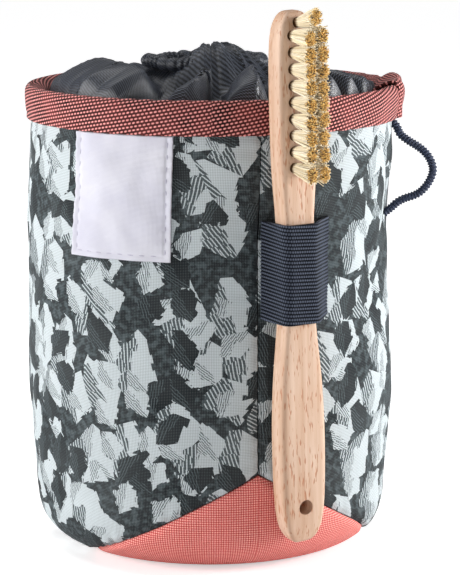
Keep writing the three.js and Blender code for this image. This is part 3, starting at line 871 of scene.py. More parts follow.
def makeLabelStitches():
    side = label["inset"] / label["width"]
    low = label["inset"] / label["height"]
    away = bag["gap"] + label["thickness"] + 0.02 * mm
    lines = []
    for across in (side, 1 - side):
        up = np.linspace(low, 0.985, 40)
        lines.append(labelAt(np.full(40, across), up, away))
    across = np.linspace(side, 1 - side, 40)
    lines.append(labelAt(across, np.full(40, low), away))
    matrices = []
    for line in lines:
        matrices += stitchesAlong(line, outOfBag, label["stitch"], label["stitchGap"])
    return copiesOf("side_label_stitching", makeStitch(label["stitch"], 0.42 * mm), matrices)


sideLabel = makeLabel()
labelStitches = makeLabelStitches()
print("label made")


# Brush: where it leans on the bag. Along is the share of its length from its lower end.
brush = {
    "length": 185.5 * mm,
    "thickness": 8.8 * mm,
    "width": 18.2 * mm,
    "turn": 30 * degree,
    "foot": 13.6 * mm,
    "lowerAngle": 28.9 * degree,
    "upperAngle": 24.2 * degree,
    "rounding": 0.2,
    "hole": 5.4 * mm,
    "holeHeight": 13.6 * mm,
    "tuftLength": 10.4 * mm,
    "tuftRoot": 3.2 * mm,
    "tuftHoleDepth": 2.2 * mm,
    "tuftRows": 9,
    "tuftSpacing": 5.5 * mm,
    "tuftColumns": 4.7 * mm,
    "tipOverlap": 1.1 * mm,
    "firstRow": 8 * mm,
    "endTuft": 3.9 * mm,
    "endLean": 0.16,
    "lowLean": -0.07,
    "splay": 1.1 * mm,
    "strands": 165,
}
# Along, width, thickness
handleSections = [
    (0.0, 0.3, 0.45),
    (0.01, 0.56, 0.75),
    (0.032, 0.82, 0.95),
    (0.075, 0.94, 1.0),
    (0.2, 1.0, 1.0),
    (0.32, 0.9, 0.97),
    (0.43, 0.655, 0.93),
    (0.54, 0.58, 0.93),
    (0.64, 0.665, 0.97),
    (0.72, 0.785, 1.0),
    (0.93, 0.8, 1.0),
    (0.972, 0.71, 0.96),
    (0.992, 0.47, 0.78),
    (1.0, 0.26, 0.5),
]


handleSteps = [0.13, 0.26, 0.37, 0.485, 0.59, 0.68, 0.79, 0.86]


def handleSizeAt(along):
    return (brush["width"] * float(tableAt(handleSections, along, 1)),
            brush["thickness"] * float(tableAt(handleSections, along, 2)))


def handleSize(height):
    return handleSizeAt((height - brush["foot"]) / brush["length"])


def sectionLoop(width, thickness):
    radius = brush["rounding"] * min(width, thickness)
    points = []
    for x, y, start in ((1, 1, 0), (-1, 1, 1), (-1, -1, 2), (1, -1, 3)):
        for turn in (0, 0.5, 1):
            angle = (start + turn) * math.pi / 2
            points.append(Vector((x * (width / 2 - radius) + radius * math.cos(angle),
                                  y * (thickness / 2 - radius) + radius * math.sin(angle), 0)))
    return points


def outsideBag(point, height, extra):
    width, depth, lean = (float(size) for size in wallSizes(np.array(height)))
    x, y = point.x - lean, point.y
    share = math.hypot(x / (width + extra), y / (depth + extra))
    return math.hypot(x, y) * (share - 1) / share


def handleSeat(angle, height, extra):
    turned = Matrix.Rotation(brush["turn"], 3, "Z")
    points = [turned @ point for point in sectionLoop(*handleSize(height))]
    away = Vector((math.sin(angle), -math.cos(angle), 0))
    near, far = 0.0, bag["width"]
    for _ in range(40):
        middle = (near + far) / 2
        spaces = [outsideBag(point + away * middle, height, extra) for point in points]
        if min(spaces) > 1.5 * bag["gap"]:
            far = middle
        else:
            near = middle
    seat = away * far
    seat.z = height
    return seat


sideContact = bag["corner"] * 1.4
upperSeat = handleSeat(brush["upperAngle"], bag["height"] - 0.6 * binding["height"],
                       bag["gap"] + 1.1 * binding["thickness"])
lowerSeat = handleSeat(brush["lowerAngle"], sideContact, 0)
brushWay = upperSeat - lowerSeat


def brushMiddle(height):
    return lowerSeat + brushWay * ((height - sideContact) / brushWay.z)


def brushPose():
    way = brushWay.normalized()
    across = Vector((math.cos(brush["turn"]), math.sin(brush["turn"]), 0))
    across = (across - way * across.dot(way)).normalized()
    turned = Matrix((across, way.cross(across), way)).transposed().to_4x4()
    return Matrix.Translation(brushMiddle(brush["foot"])) @ turned


brushPlace = brushPose()


def tuftPlaces():
    tufts = [(0, brush["length"] - brush["endTuft"], brush["endLean"])]
    for row in range(brush["tuftRows"]):
        for side in (-0.5, 0.5):
            height = brush["length"] - brush["firstRow"] - row * brush["tuftSpacing"]
            lean = 0.02 * math.sin(5 * row + 3 * side)
            if row == brush["tuftRows"] - 1:
                lean = brush["lowLean"]
            tufts.append((side * brush["tuftColumns"], height, lean))
    return tufts


def drill(piece, radius, depthFrom, depthTo, x, z, sides):
    clearSelection()
    bpy.ops.mesh.primitive_cylinder_add(vertices=sides, radius=radius, depth=depthTo - depthFrom,
                                        location=(x, -(depthFrom + depthTo) / 2, z),
                                        rotation=(math.pi / 2, 0, 0))
    cutter = bpy.context.object
    cut = piece.modifiers.new("hole", "BOOLEAN")
    cut.object = cutter
    cut.solver = "EXACT"
    applyModifiers(piece)
    bpy.data.objects.remove(cutter)


# The handle grows from a rounded plate, drawn up from section to section.
def makeHandle():
    first = handleSections[0]
    clearSelection()
    bpy.ops.mesh.primitive_plane_add(size=1)
    handle = bpy.context.object
    handle.name = "brush_handle_beech"
    bpy.ops.object.mode_set(mode="EDIT")
    bpy.ops.mesh.select_all(action="SELECT")
    size = (first[1] * brush["width"], first[2] * brush["thickness"])
    bpy.ops.transform.resize(value=(size[0], size[1], 1))
    bpy.ops.mesh.bevel(offset=brush["rounding"] * min(size), segments=3, affect="VERTICES")
    height = 0
    steps = sorted([row[0] for row in handleSections] + handleSteps)
    for along in steps[1:]:
        width, thickness = handleSizeAt(along)
        lift = along * brush["length"] - height
        bpy.ops.mesh.extrude_region_move(TRANSFORM_OT_translate={"value": (0, 0, lift)})
        middle = (0, 0, along * brush["length"])
        bpy.ops.transform.resize(value=(width / size[0], thickness / size[1], 1), center_override=middle)
        height = along * brush["length"]
        size = (width, thickness)
    bpy.ops.mesh.select_all(action="SELECT")
    bpy.ops.mesh.normals_make_consistent(inside=False)
    bpy.ops.object.mode_set(mode="OBJECT")
    handle.data.name = "brush_handle_beech"
    roundEdges(handle, 2)
    face = brush["thickness"] / 2
    drill(handle, brush["hole"] / 2, -face * 2, face * 2, 0, brush["holeHeight"], 40)
    bore = brush["tuftRoot"] / 2 + 0.15 * mm
    for x, z, _ in tuftPlaces():
        drill(handle, bore, face - brush["tuftHoleDepth"], face * 1.6, x, z, 18)
    places = np.array([vertex.co for vertex in handle.data.vertices], np.float32)
    grain = handle.data.attributes.new("grain", "FLOAT_VECTOR", "POINT")
    grain.data.foreach_set("vector", places.ravel())
    handle.data.transform(brushPlace)
    smoothFaces(handle, 38)
    return handle


goldenTurn = 2.39996


# Bristles: bent strands in every tuft, cream below and ochre at the tips.
def makeBristles():
    dice = np.random.default_rng(7)
    face = brush["thickness"] / 2
    tip = max(brush["tuftSpacing"], brush["tuftColumns"]) + brush["tipOverlap"]
    points, faces, places = [], [], []
    steps = np.array([0.0, 0.35, 0.7, 0.93, 1.0])
    for x, z, lean in tuftPlaces():
        for i in range(brush["strands"]):
            spreadOut = math.sqrt((i + 0.5) / brush["strands"])
            turn = i * goldenTurn + dice.uniform(-0.3, 0.3)
            stray = 1 + (dice.uniform(0.1, 0.35) if dice.random() < 0.07 else dice.uniform(-0.12, 0.1))
            rootOut = spreadOut * (brush["tuftRoot"] / 2 - 0.12 * mm)
            tipOut = spreadOut * tip / 2 * stray
            long = brush["tuftLength"] + dice.uniform(-0.45, 0.25) * mm - 0.9 * mm * spreadOut ** 3
            bend = dice.uniform(-0.35, 0.35) * mm
            thick = dice.uniform(0.09, 0.115) * mm
            tone = dice.random()
            worn = 1.0 if spreadOut + dice.uniform(-0.12, 0.12) < 0.8 else 0.86
            first = len(points)
            for share in steps:
                out = rootOut + (tipOut - rootOut) * share ** 1.15
                deep = face - brush["tuftHoleDepth"] + (long + brush["tuftHoleDepth"]) * share
                over = max(deep - face, 0)
                sideways = 0.72 * out * math.cos(turn) + (bend + brush["splay"]) * share ** 2
                middle = Vector((x + sideways, -deep, z + out * math.sin(turn) + lean * over * 1.6))
                radius = thick * (1 + 0.75 * share)
                for corner in range(4):
                    angle = corner * math.pi / 2
                    offset = Vector((radius * math.cos(angle), 0, radius * math.sin(angle)))
                    points.append(middle + offset)
            for ring in range(len(steps) - 1):
                for corner in range(4):
                    following = (corner + 1) % 4
                    low = first + ring * 4
                    faces.append([low + corner, low + corner + 4, low + following + 4, low + following])
                    lower, upper = steps[ring] * worn, steps[ring + 1] * worn
                    places += [(tone, lower), (tone, upper), (tone, upper), (tone, lower)]
            last = first + (len(steps) - 1) * 4
            faces.append([last + 3, last + 2, last + 1, last])
            places += [(tone, worn)] * 4
    piece = pieceFrom("brush_bristles_tufts", points, faces)
    layer = piece.data.uv_layers.new(name="strand")
    layer.data.foreach_set("uv", np.array(places, np.float32).ravel())
    piece.data.transform(brushPlace)
    smoothFaces(piece, 60)
    return piece


brushHandle = makeHandle()
brushBristles = makeBristles()
print("brush made")


# Brush holder: ribbed elastic from the front seam, round the handle's front and back to the side.
holder = {"height": 34.5 * mm, "middle": 110.2 * mm, "thickness": 1.3 * mm, "end": 37 * degree,
          "lap": 1.6 * degree, "ribs": 28, "ribDepth": 0.3 * mm, "rowsPerRib": 6, "columns": 110}


def holderLine(height, away):
    width, thickness = handleSize(height)
    corner = brush["rounding"] * min(width, thickness)
    reach = corner + bag["gap"] + away
    faceTurn = brush["turn"] - math.pi / 2
    share = away / holder["thickness"]
    line = []
    for side in (-1, 1):
        centre = Vector((side * (width / 2 - corner), corner - thickness / 2, 0))
        centre = Matrix.Rotation(brush["turn"], 3, "Z") @ centre + brushMiddle(height)
        footAngle = bag["seam"] + holder["lap"] * (1.3 - share) if side < 0 \
            else holder["end"] + holder["lap"] * share
        foot = Vector(wallPoint(footAngle, runOfHeight(height), -bag["gap"]))
        toFoot = foot - centre
        footTurn = math.atan2(toFoot.y, toFoot.x)
        touch = footTurn - side * math.acos(reach / math.hypot(toFoot.x, toFoot.y))
        sweep = turnBetween(faceTurn / degree, touch / degree) * degree
        bend = []
        for part in np.linspace(0, 1, 9):
            turn = touch + sweep * part
            bend.append(centre + reach * Vector((math.cos(turn), math.sin(turn), 0)))
        line += [foot] + bend if side < 0 else bend[::-1] + [foot]
    return line


def makeHolder():
    rows = holder["ribs"] * holder["rowsPerRib"] + 1
    ups = np.linspace(-0.5, 0.5, rows)
    lines = []
    length = 0
    for up in ups:
        wave = math.cos((up + 0.5) * holder["ribs"] * 2 * math.pi)
        selvedge = math.exp(-((0.5 - abs(up)) * holder["height"] / (1.1 * mm)) ** 2)
        away = holder["thickness"] - holder["ribDepth"] * (0.5 + 0.5 * wave) * (1 - selvedge)
        line = holderLine(holder["middle"] + holder["height"] * up, away)
        line, length = evenlyAlong(line, holder["columns"])
        lines.append(line)
    points = np.array(lines)
    along = np.linspace(0, length, holder["columns"])
    cloth = stacked(along[None, :], (ups * holder["height"])[:, None])
    piece = gridPiece("brush_holder_elastic", points, cloth)
    thicken(piece, 1.1 * mm)
    smoothFaces(piece, 50)
    return piece


brushHolder = makeHolder()
print("brush holder made")


# Materials. Nodes builds in one node tree, from sockets and from plain values.
class Nodes:
    def __init__(self, tree):
        self.tree = tree

    def add(self, kind, inputs=(), **settings):
        made = self.tree.nodes.new(kind)
        for name, value in settings.items():
            setattr(made, name, value)
        for key, value in dict(inputs).items():
            if isinstance(value, bpy.types.NodeSocket):
                self.link(value, made.inputs[key])
            else:
                made.inputs[key].default_value = value
        return made.outputs

    def link(self, value, socket):
        self.tree.links.new(value, socket)

    def use(self, group, **inputs):
        return self.add("ShaderNodeGroup", inputs, node_tree=group)

    def maths(self, operation, *values):
        return self.add("ShaderNodeMath", enumerate(values), operation=operation)[0]

    def plus(self, first, second):
        return self.maths("ADD", first, second)

    def times(self, first, second):
        return self.maths("MULTIPLY", first, second)

    def wave(self, value):
        return self.maths("ABSOLUTE", self.maths("SINE", self.times(value, math.pi)))

    def vectors(self, operation, vector, by):
        key = 3 if operation == "SCALE" else 1
        return self.add("ShaderNodeVectorMath", {0: vector, key: by}, operation=operation)[0]

    def mix(self, share, first, second):
        return self.add("ShaderNodeMix", {0: share, 6: first, 7: second}, data_type="RGBA")[2]

    def between(self, value, low, high, toLow=0.0, toHigh=1.0):
        return self.add("ShaderNodeMapRange", {0: value, 1: low, 2: high, 3: toLow, 4: toHigh})[0]

    def noise(self, place, scale, detail, **more):
        inputs = {"Vector": place, "Scale": scale, "Detail": detail, **more}
        return self.add("ShaderNodeTexNoise", inputs)["Fac"]

    def stretched(self, place, scale):
        return self.add("ShaderNodeMapping", {"Vector": place, "Scale": scale})[0]

    def clothPlace(self, layer="cloth"):
        return self.add("ShaderNodeUVMap", uv_map=layer)[0]

    def objectPlace(self):
        return self.add("ShaderNodeTexCoord")["Object"]


# Shared effects are groups. A socket with no value of its own takes a place.
def newGroup(name, entries, exits):
    group = bpy.data.node_groups.new(name, "ShaderNodeTree")
    for socketName, value in entries.items():
        kind = "NodeSocketVector" if value is None else "NodeSocketFloat"
        socket = group.interface.new_socket(socketName, in_out="INPUT", socket_type=kind)
        if value is not None:
            socket.default_value = value
    for socketName in exits:
        group.interface.new_socket(socketName, in_out="OUTPUT", socket_type="NodeSocketFloat")
    nodes = Nodes(group)
    return nodes, nodes.add("NodeGroupInput"), group.nodes.new("NodeGroupOutput").inputs


def scaledDown(nodes, entry, size):
    return nodes.vectors("SCALE", entry["Cloth"], nodes.maths("DIVIDE", 1.0, entry[size]))


def partsOf(nodes, place):
    return nodes.add("ShaderNodeSeparateXYZ", {0: place})[:2]


# Plain weave: a small bump where each thread crosses over.
def makeWeaveGroup():
    nodes, entry, leave = newGroup("plainWeave", {"Cloth": None, "Thread": 0.6 * mm}, ["Height"])
    across, up = partsOf(nodes, scaledDown(nodes, entry, "Thread"))
    crossing = nodes.times(nodes.wave(across), nodes.wave(up))
    nodes.link(nodes.maths("POWER", crossing, 0.6), leave["Height"])
    return nodes.tree


# Twill: slanting rows, broken into short raised dashes.
def makeTwillGroup():
    entries = {"Cloth": None, "Pitch": 1.2 * mm, "Slant": 0.3, "Dash": 1.4}
    nodes, entry, leave = newGroup("twillRows", entries, ["Height"])
    across, up = partsOf(nodes, scaledDown(nodes, entry, "Pitch"))
    row = nodes.plus(up, nodes.times(across, entry["Slant"]))
    step = nodes.times(nodes.maths("FLOOR", row), 0.5)
    along = nodes.plus(nodes.maths("DIVIDE", across, entry["Dash"]), step)
    line = nodes.maths("POWER", nodes.wave(row), 0.8)
    dash = nodes.maths("POWER", nodes.wave(along), 0.4)
    nodes.link(nodes.times(line, dash), leave["Height"])
    return nodes.tree


# Uneven dye and handling: a soft mottling between 0 and 1, and a fine fuzz.
def makeMottleGroup():
    nodes, entry, leave = newGroup("mottling", {"Place": None, "Size": 20 * mm}, ["Shade", "Fuzz"])
    scale = nodes.maths("DIVIDE", 1.0, entry["Size"])
    broad = nodes.noise(entry["Place"], scale, 3.0, Roughness=0.6)
    nodes.link(nodes.between(broad, 0.3, 0.7), leave["Shade"])
    nodes.link(nodes.noise(entry["Place"], nodes.times(scale, 30.0), 2.0), leave["Fuzz"])
    return nodes.tree


# Print: one scattering of pointed splinters, each with a lit half and a hatched half.
def makeSplinterGroup():
    entries = {"Cloth": None, "Size": 16 * mm, "Slimness": 0.4, "Jag": 0.3, "Lean": 1.2}
    nodes, entry, leave = newGroup("splinters", entries, ["Mask", "Half", "Hatch", "Chance"])
    scaled = scaledDown(nodes, entry, "Size")
    rough = nodes.add("ShaderNodeTexVoronoi", {"Vector": scaled, "Scale": 5.0},
                      voronoi_dimensions="2D", distance="MANHATTAN")
    wobble = nodes.vectors("SUBTRACT", rough["Color"], (0.5, 0.5, 0.5))
    wobble = nodes.vectors("SCALE", wobble, entry["Jag"])
    cells = nodes.add("ShaderNodeTexVoronoi", {"Vector": scaled, "Scale": 1.0, "Randomness": 0.9},
                      voronoi_dimensions="2D")
    local = nodes.vectors("ADD", nodes.vectors("SUBTRACT", scaled, cells["Position"]), wobble)
    chances = nodes.add("ShaderNodeSeparateColor", {0: cells["Color"]})
    turn = nodes.times(nodes.maths("SUBTRACT", chances[0], 0.5), entry["Lean"])
    turned = nodes.add("ShaderNodeVectorRotate", {"Vector": local, "Angle": turn}, rotation_type="Z_AXIS")
    x, y = partsOf(nodes, turned[0])
    wide = nodes.maths("DIVIDE", nodes.maths("ABSOLUTE", x), entry["Slimness"])
    tall = nodes.maths("MAXIMUM", nodes.times(y, 1.15), nodes.times(y, -2.2))
    half = nodes.maths("GREATER_THAN", nodes.plus(x, nodes.times(y, 0.12)), 0.0)
    stripes = nodes.maths("SINE", nodes.plus(nodes.times(x, 96.0), nodes.times(y, 34.0)))
    hatch = nodes.times(nodes.maths("GREATER_THAN", stripes, 0.45), nodes.maths("SUBTRACT", 1.0, half))
    nodes.link(nodes.maths("LESS_THAN", nodes.plus(wide, tall), 1.0), leave["Mask"])
    nodes.link(half, leave["Half"])
    nodes.link(hatch, leave["Hatch"])
    nodes.link(chances[1], leave["Chance"])
    return nodes.tree


plainWeave = makeWeaveGroup()
twillRows = makeTwillGroup()
mottling = makeMottleGroup()
splinters = makeSplinterGroup()


def newMaterial(name, roughness, sheen=0.0, sheenRoughness=0.4, specular=0.5):
    material = bpy.data.materials.new(name)
    material.use_nodes = True
    nodes = Nodes(material.node_tree)
    surface = nodes.tree.nodes["Principled BSDF"].inputs
    surface["Roughness"].default_value = roughness
    surface["Sheen Weight"].default_value = sheen
    surface["Sheen Roughness"].default_value = sheenRoughness
    surface["Specular IOR Level"].default_value = specular
    return material, nodes, surface


def paint(nodes, surface, tone, height, depth):
    nodes.link(tone, surface["Base Color"])
    bump = nodes.add("ShaderNodeBump", {"Height": height, "Distance": depth, "Strength": 1.0})
    nodes.link(bump[0], surface["Normal"])


def toned(colour):
    return tuple((part / 255) ** 2.2 for part in colour) + (1,)


# Where on a pattern's height the painted shade in its gaps begins and is darkest
weaveGapShade = (0.55, 0.1)
twillGapShade = (0.82, 0.34)

# Splinters of the print: shift on the cloth, size, slimness, jag, lean
printed = {
    "dark": (28, 34, 37),
    "middle": (76, 86, 89),
    "pale": (208, 217, 220),
    "thread": 0.55 * mm,
    "bump": 0.09 * mm,
    "large": ((0, 0, 0), 0.02, 0.5, 0.1, 1.3),
    "small": ((0.131, 0.057, 0), 0.012, 0.42, 0.12, 1.9),
    "deep": ((0.317, 0.231, 0), 0.015, 0.34, 0.12, 1.6),
}


def makePrintedCloth():
    material, nodes, surface = newMaterial("printedCloth", 0.8, 0.08, 0.2, 0.15)
    cloth = nodes.clothPlace()
    scattered = []
    for name in ("large", "small", "deep"):
        shift, size, slimness, jag, lean = printed[name]
        shape = {"Cloth": nodes.vectors("ADD", cloth, shift), "Size": size, "Slimness": slimness}
        scattered.append(nodes.use(splinters, Jag=jag, Lean=lean, **shape))
    large, small, deep = scattered
    dark, middle, pale = (toned(printed[name]) for name in ("dark", "middle", "pale"))
    tone = nodes.mix(nodes.between(nodes.noise(cloth, 420.0, 2.0), 0.45, 0.62), dark, middle)
    leaf = nodes.mix(large["Hatch"], nodes.mix(large["Half"], middle, pale), pale)
    tone = nodes.mix(large["Mask"], tone, leaf)
    for marks, rare, body, line in ((small, 0.35, pale, middle), (deep, 0.4, dark, middle)):
        shown = nodes.times(marks["Mask"], nodes.maths("GREATER_THAN", marks["Chance"], rare))
        tone = nodes.mix(shown, tone, nodes.mix(marks["Hatch"], body, line))
    threads = nodes.use(plainWeave, Cloth=cloth, Thread=printed["thread"])["Height"]
    mottle = nodes.use(mottling, Place=nodes.objectPlace(), Size=0.03)
    # Painted shade: the gaps between the threads are darkened nearly to black.
    gapShade = nodes.times(nodes.between(threads, *weaveGapShade), 0.62)
    tone = nodes.mix(gapShade, tone, (0.006, 0.008, 0.009, 1))
    # Painted highlight: the tops of the raised threads are lightened towards the pale tone.
    tone = nodes.mix(nodes.times(nodes.between(threads, 0.75, 1.0), 0.16), tone, pale)
    tone = nodes.mix(nodes.times(mottle["Shade"], 0.05), tone, (0.6, 0.65, 0.66, 1))
    height = nodes.plus(threads, nodes.times(mottle["Fuzz"], 0.4))
    paint(nodes, surface, tone, height, printed["bump"])
    return material


# Woven cloths. Finish: sheen, its roughness, specular. Tones: body, painted highlight on the raised
# threads, painted shade in the gaps, stains.
# The highlight band: where on the pattern's height the threads take the painted highlight. Stains: their
# size and share.
canvas = {
    "pattern": plainWeave,
    "pitch": {"Thread": 0.85 * mm},
    "finish": (0.05, 0.4, 0.2),
    "tones": ((255, 112, 106), (255, 196, 184), (120, 16, 20), (230, 84, 82)),
    "highlightBand": (0.45, 0.95),
    "gapShade": weaveGapShade,
    "gapShadeShare": 0.75,
    "stains": (0.012, 0.18),
    "fuzz": 0.3,
    "bump": 0.22 * mm,
}
tape = {
    "pattern": twillRows,
    "pitch": {"Pitch": 1.25 * mm, "Slant": -0.2, "Dash": 1.15},
    "finish": (0.2, 0.2, 0.15),
    "tones": ((168, 46, 50), (255, 176, 170), (10, 1, 2), (232, 120, 116)),
    "highlightBand": (0.5, 1.0),
    "gapShade": (0.9, 0.5),
    "gapShadeShare": 1.0,
    "stains": (0.01, 0.15),
    "fuzz": 0.15,
    "bump": 0.3 * mm,
}
nylon = {
    "pattern": twillRows,
    "pitch": {"Pitch": 0.44 * mm, "Slant": 0.9, "Dash": 3.0},
    "finish": (0.09, 0.2, 0.56),
    "tones": ((16, 19, 27), (124, 132, 148), (2, 3, 6), (24, 29, 42)),
    "highlightBand": (0.68, 1.0),
    "gapShade": twillGapShade,
    "gapShadeShare": 0.8,
    "stains": (0.009, 0.2),
    "fuzz": 0.0,
    "bump": 0.05 * mm,
}
elastic = {
    "pattern": twillRows,
    "pitch": {"Pitch": 1.23 * mm, "Slant": 0.06, "Dash": 0.78},
    "finish": (0.06, 0.15, 0.1),
    "tones": ((14, 18, 27), (92, 99, 114), (3, 4, 8), (30, 35, 48)),
    "highlightBand": (0.3, 1.0),
    "gapShade": twillGapShade,
    "gapShadeShare": 0.7,
    "stains": (0.012, 0.2),
    "fuzz": 0.0,
    "bump": 0.16 * mm,
}


def makeWoven(name, kind, roughness):
    material, nodes, surface = newMaterial(name, roughness, *kind["finish"])
    threads = nodes.use(kind["pattern"], Cloth=nodes.clothPlace(), **kind["pitch"])["Height"]
    stainSize, stainShare = kind["stains"]
    mottle = nodes.use(mottling, Place=nodes.objectPlace(), Size=stainSize)
    body, highlightTone, gap, stain = (toned(tone) for tone in kind["tones"])
    # Painted highlight: the raised threads are lightened towards the highlight tone.
    tone = nodes.mix(nodes.between(threads, *kind["highlightBand"]), body, highlightTone)
    # Painted shade: the gaps between the threads are darkened towards the gap tone.
    tone = nodes.mix(nodes.times(nodes.between(threads, *kind["gapShade"]), kind["gapShadeShare"]), tone, gap)
    tone = nodes.mix(nodes.times(mottle["Shade"], stainShare), tone, stain)
    height = nodes.plus(threads, nodes.times(mottle["Fuzz"], kind["fuzz"]))
    paint(nodes, surface, tone, height, kind["bump"])
    return material


def makeLining():
    material, nodes, surface = newMaterial("fleeceLining", 0.95, sheen=0.15, specular=0.1)
    tufts = nodes.noise(nodes.objectPlace(), 900.0, 4.0)
    tone = nodes.mix(nodes.between(tufts, 0.3, 0.7), (0.05, 0.055, 0.065, 1), (0.12, 0.13, 0.15, 1))
    paint(nodes, surface, tone, tufts, 0.5 * mm)
    return material


def makeLabelCloth():
    material, nodes, surface = newMaterial("labelCloth", 0.6, specular=0.25)
    threads = nodes.use(plainWeave, Cloth=nodes.clothPlace(), Thread=0.42 * mm)["Height"]
    mottle = nodes.use(mottling, Place=nodes.objectPlace(), Size=0.016)
    tone = nodes.mix(mottle["Shade"], toned((218, 217, 225)), toned((203, 202, 215)))
    # Painted shade: the gaps between the threads are a little darker.
    gapShade = nodes.times(nodes.between(threads, *weaveGapShade), 0.25)
    tone = nodes.mix(gapShade, tone, toned((186, 184, 204)))
    paint(nodes, surface, tone, threads, 0.06 * mm)
    return material


def makeThread():
    material, nodes, surface = newMaterial("labelThread", 0.6, sheen=0.2)
    twist = nodes.noise(nodes.objectPlace(), 2600.0, 1.0)
    tone = nodes.mix(twist, toned((150, 146, 168)), toned((214, 210, 226)))
    paint(nodes, surface, tone, twist, 0.05 * mm)
    return material


def makeCordCover():
    material, nodes, surface = newMaterial("navyCord", 0.55, specular=0.3)
    braid = nodes.use(plainWeave, Cloth=nodes.clothPlace(), Thread=0.55 * mm)["Height"]
    # Painted highlight and shade: the raised threads of the braid are lighter and the hollows between
    # them darker.
    tone = nodes.mix(nodes.between(braid, 0.3, 1.0), toned((26, 32, 48)), toned((86, 96, 122)))
    paint(nodes, surface, tone, braid, 0.12 * mm)
    return material


def makeBeech():
    material, nodes, surface = newMaterial("beech", 0.5, specular=0.45)
    grain = nodes.add("ShaderNodeAttribute", attribute_name="grain", attribute_type="GEOMETRY")["Vector"]
    long = nodes.stretched(grain, (330.0, 330.0, 14.0))
    rings = nodes.noise(long, 1.0, 4.0, Roughness=0.6, Distortion=0.4)
    flecks = nodes.noise(nodes.stretched(grain, (1500.0, 1500.0, 260.0)), 1.0, 1.0)
    broad = nodes.noise(grain, 45.0, 2.0)
    tone = nodes.mix(nodes.between(rings, 0.3, 0.7), toned((188, 148, 120)), toned((218, 190, 168)))
    tone = nodes.mix(nodes.between(broad, 0.35, 0.75, 0.0, 0.35), tone, toned((198, 154, 120)))
    fleckMask = nodes.times(nodes.between(flecks, 0.6, 0.7), 0.7)
    tone = nodes.mix(fleckMask, tone, toned((170, 100, 58)))
    height = nodes.maths("SUBTRACT", rings, nodes.times(fleckMask, 0.8))
    paint(nodes, surface, tone, height, 0.12 * mm)
    return material


def makeBristle():
    material, nodes, surface = newMaterial("bristle", 0.55, specular=0.4)
    shade, along = partsOf(nodes, nodes.clothPlace("strand"))
    body = nodes.mix(shade, toned((226, 208, 170)), toned((248, 238, 216)))
    tip = nodes.mix(shade, toned((204, 150, 66)), toned((242, 206, 128)))
    tone = nodes.mix(nodes.between(along, 0.88, 0.99), body, tip)
    speck = nodes.times(nodes.maths("LESS_THAN", shade, 0.13), nodes.between(along, 0.92, 0.99))
    tone = nodes.mix(speck, tone, toned((70, 48, 26)))
    # Painted shade: the strands darken towards their roots, where they go into the holes.
    tone = nodes.mix(nodes.between(along, 0.3, 0.16), tone, toned((120, 84, 48)))
    nodes.link(tone, surface["Base Color"])
    return material


def dress(piece, *materials):
    piece.data.materials.clear()
    for material in materials:
        piece.data.materials.append(material)


printedCloth = makePrintedCloth()
lining = makeLining()
tapeCloth = makeWoven("coralTwillTape", tape, 0.65)
dress(sidePanelLeft, printedCloth, lining)
dress(sidePanelRight, printedCloth, lining)
dress(basePanel, makeWoven("coralCanvas", canvas, 0.75), lining)
dress(rimBinding, tapeCloth)
dress(bindingEnd, tapeCloth)
dress(collarCloth, makeWoven("collarNylon", nylon, 0.35))
dress(collarHem, makeWoven("hemNylon", nylon, 0.32))
dress(sideLabel, makeLabelCloth())
dress(labelStitches, makeThread())
dress(brushHolder, makeWoven("navyElastic", elastic, 0.7))
dress(cordLoop, makeCordCover())
dress(brushHandle, makeBeech())
dress(brushBristles, makeBristle())
print("materials made")


# Every piece but the stitching stands for a node: it is hung under the root, and the node's own part is
# hidden. The third column is the record's slot for its finish.
standsFor = [
    (sidePanelLeft, "side_panel_left", "printed_cloth"),
    (sidePanelRight, "side_panel_right", "printed_cloth"),
    (basePanel, "base_panel", "base_cloth"),
    (rimBinding, "rim_binding", "rim_tape"),
    (bindingEnd, "binding_overlap", "rim_tape"),
    (collarCloth, "collar", "collar_cloth"),
    (collarHem, "collar_hem", "collar_cloth"),
    (sideLabel, "side_label", "label_cloth"),
    (brushHolder, "brush_holder", "elastic"),
    (cordLoop, "cord_loop", "cord"),
    (brushHandle, "brush_handle", "beech"),
    (brushBristles, "brush_bristles", "bristle"),
]
for piece, node, slot in standsFor:
    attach(piece, "root")
    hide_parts(node)
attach(labelStitches, "root")


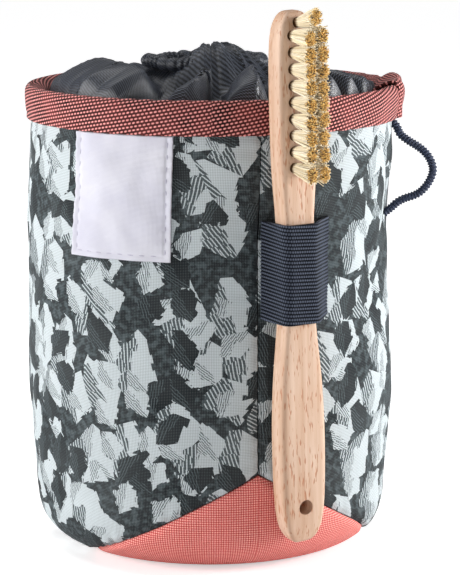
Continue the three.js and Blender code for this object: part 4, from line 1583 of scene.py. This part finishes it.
# Stage: a plain pale floor and soft studio light, brightest from the two sides.
studio = {
    "floor": (0.9, 0.9, 0.905, 1),
    "fill": 0.2,
    "backdrop": 1.0,
    "overhead": 1.15,
    "glow": 0.5,
    "overheadSoftness": 35,
    "overheadLean": (-12, -8),
    "target": (0, 0, 0.09),
    "lights": [
        ("left", (-0.85, -0.16, 0.26), 0.4, 7.4),
        ("right", (0.85, -0.02, 0.26), 0.4, 9.4),
        ("front", (-0.2, -1.1, 0.1), 0.5, 1.2),
    ],
}

clearSelection()
bpy.ops.mesh.primitive_plane_add(size=40)
floor = bpy.context.object
floor.name = "floor"
floorMaterial, floorNodes, floorSurface = newMaterial("paleFloor", 0.9)
floorSurface["Base Color"].default_value = studio["floor"]
floorSurface["Emission Color"].default_value = (1, 1, 1, 1)
seen = floorNodes.add("ShaderNodeLightPath")["Is Camera Ray"]
floorNodes.link(floorNodes.times(seen, studio["glow"]), floorSurface["Emission Strength"])
dress(floor, floorMaterial)

world = bpy.data.worlds.new("air")
world.use_nodes = True
air = Nodes(world.node_tree)
background = world.node_tree.nodes["Background"].inputs
background["Color"].default_value = (1, 1, 1, 1)
seen = air.add("ShaderNodeLightPath")["Is Camera Ray"]
air.link(air.between(seen, 0.0, 1.0, studio["fill"], studio["backdrop"]), background["Strength"])
scene.world = world

overhead = bpy.data.lights.new("overhead", "SUN")
overhead.energy = studio["overhead"]
overhead.angle = math.radians(studio["overheadSoftness"])
overheadLamp = bpy.data.objects.new("overhead", overhead)
overheadLamp.rotation_euler = [math.radians(turn) for turn in studio["overheadLean"]] + [0]
scene.collection.objects.link(overheadLamp)
target = Vector(studio["target"])
for name, place, size, power in studio["lights"]:
    lamp = bpy.data.lights.new(name, "AREA")
    lamp.size = size
    lamp.energy = power
    lampObject = bpy.data.objects.new(name, lamp)
    lampObject.location = place
    lampObject.rotation_euler = (target - Vector(place)).to_track_quat("-Z", "Y").to_euler()
    scene.collection.objects.link(lampObject)
scene.view_settings.view_transform = "Standard"
print("stage made")
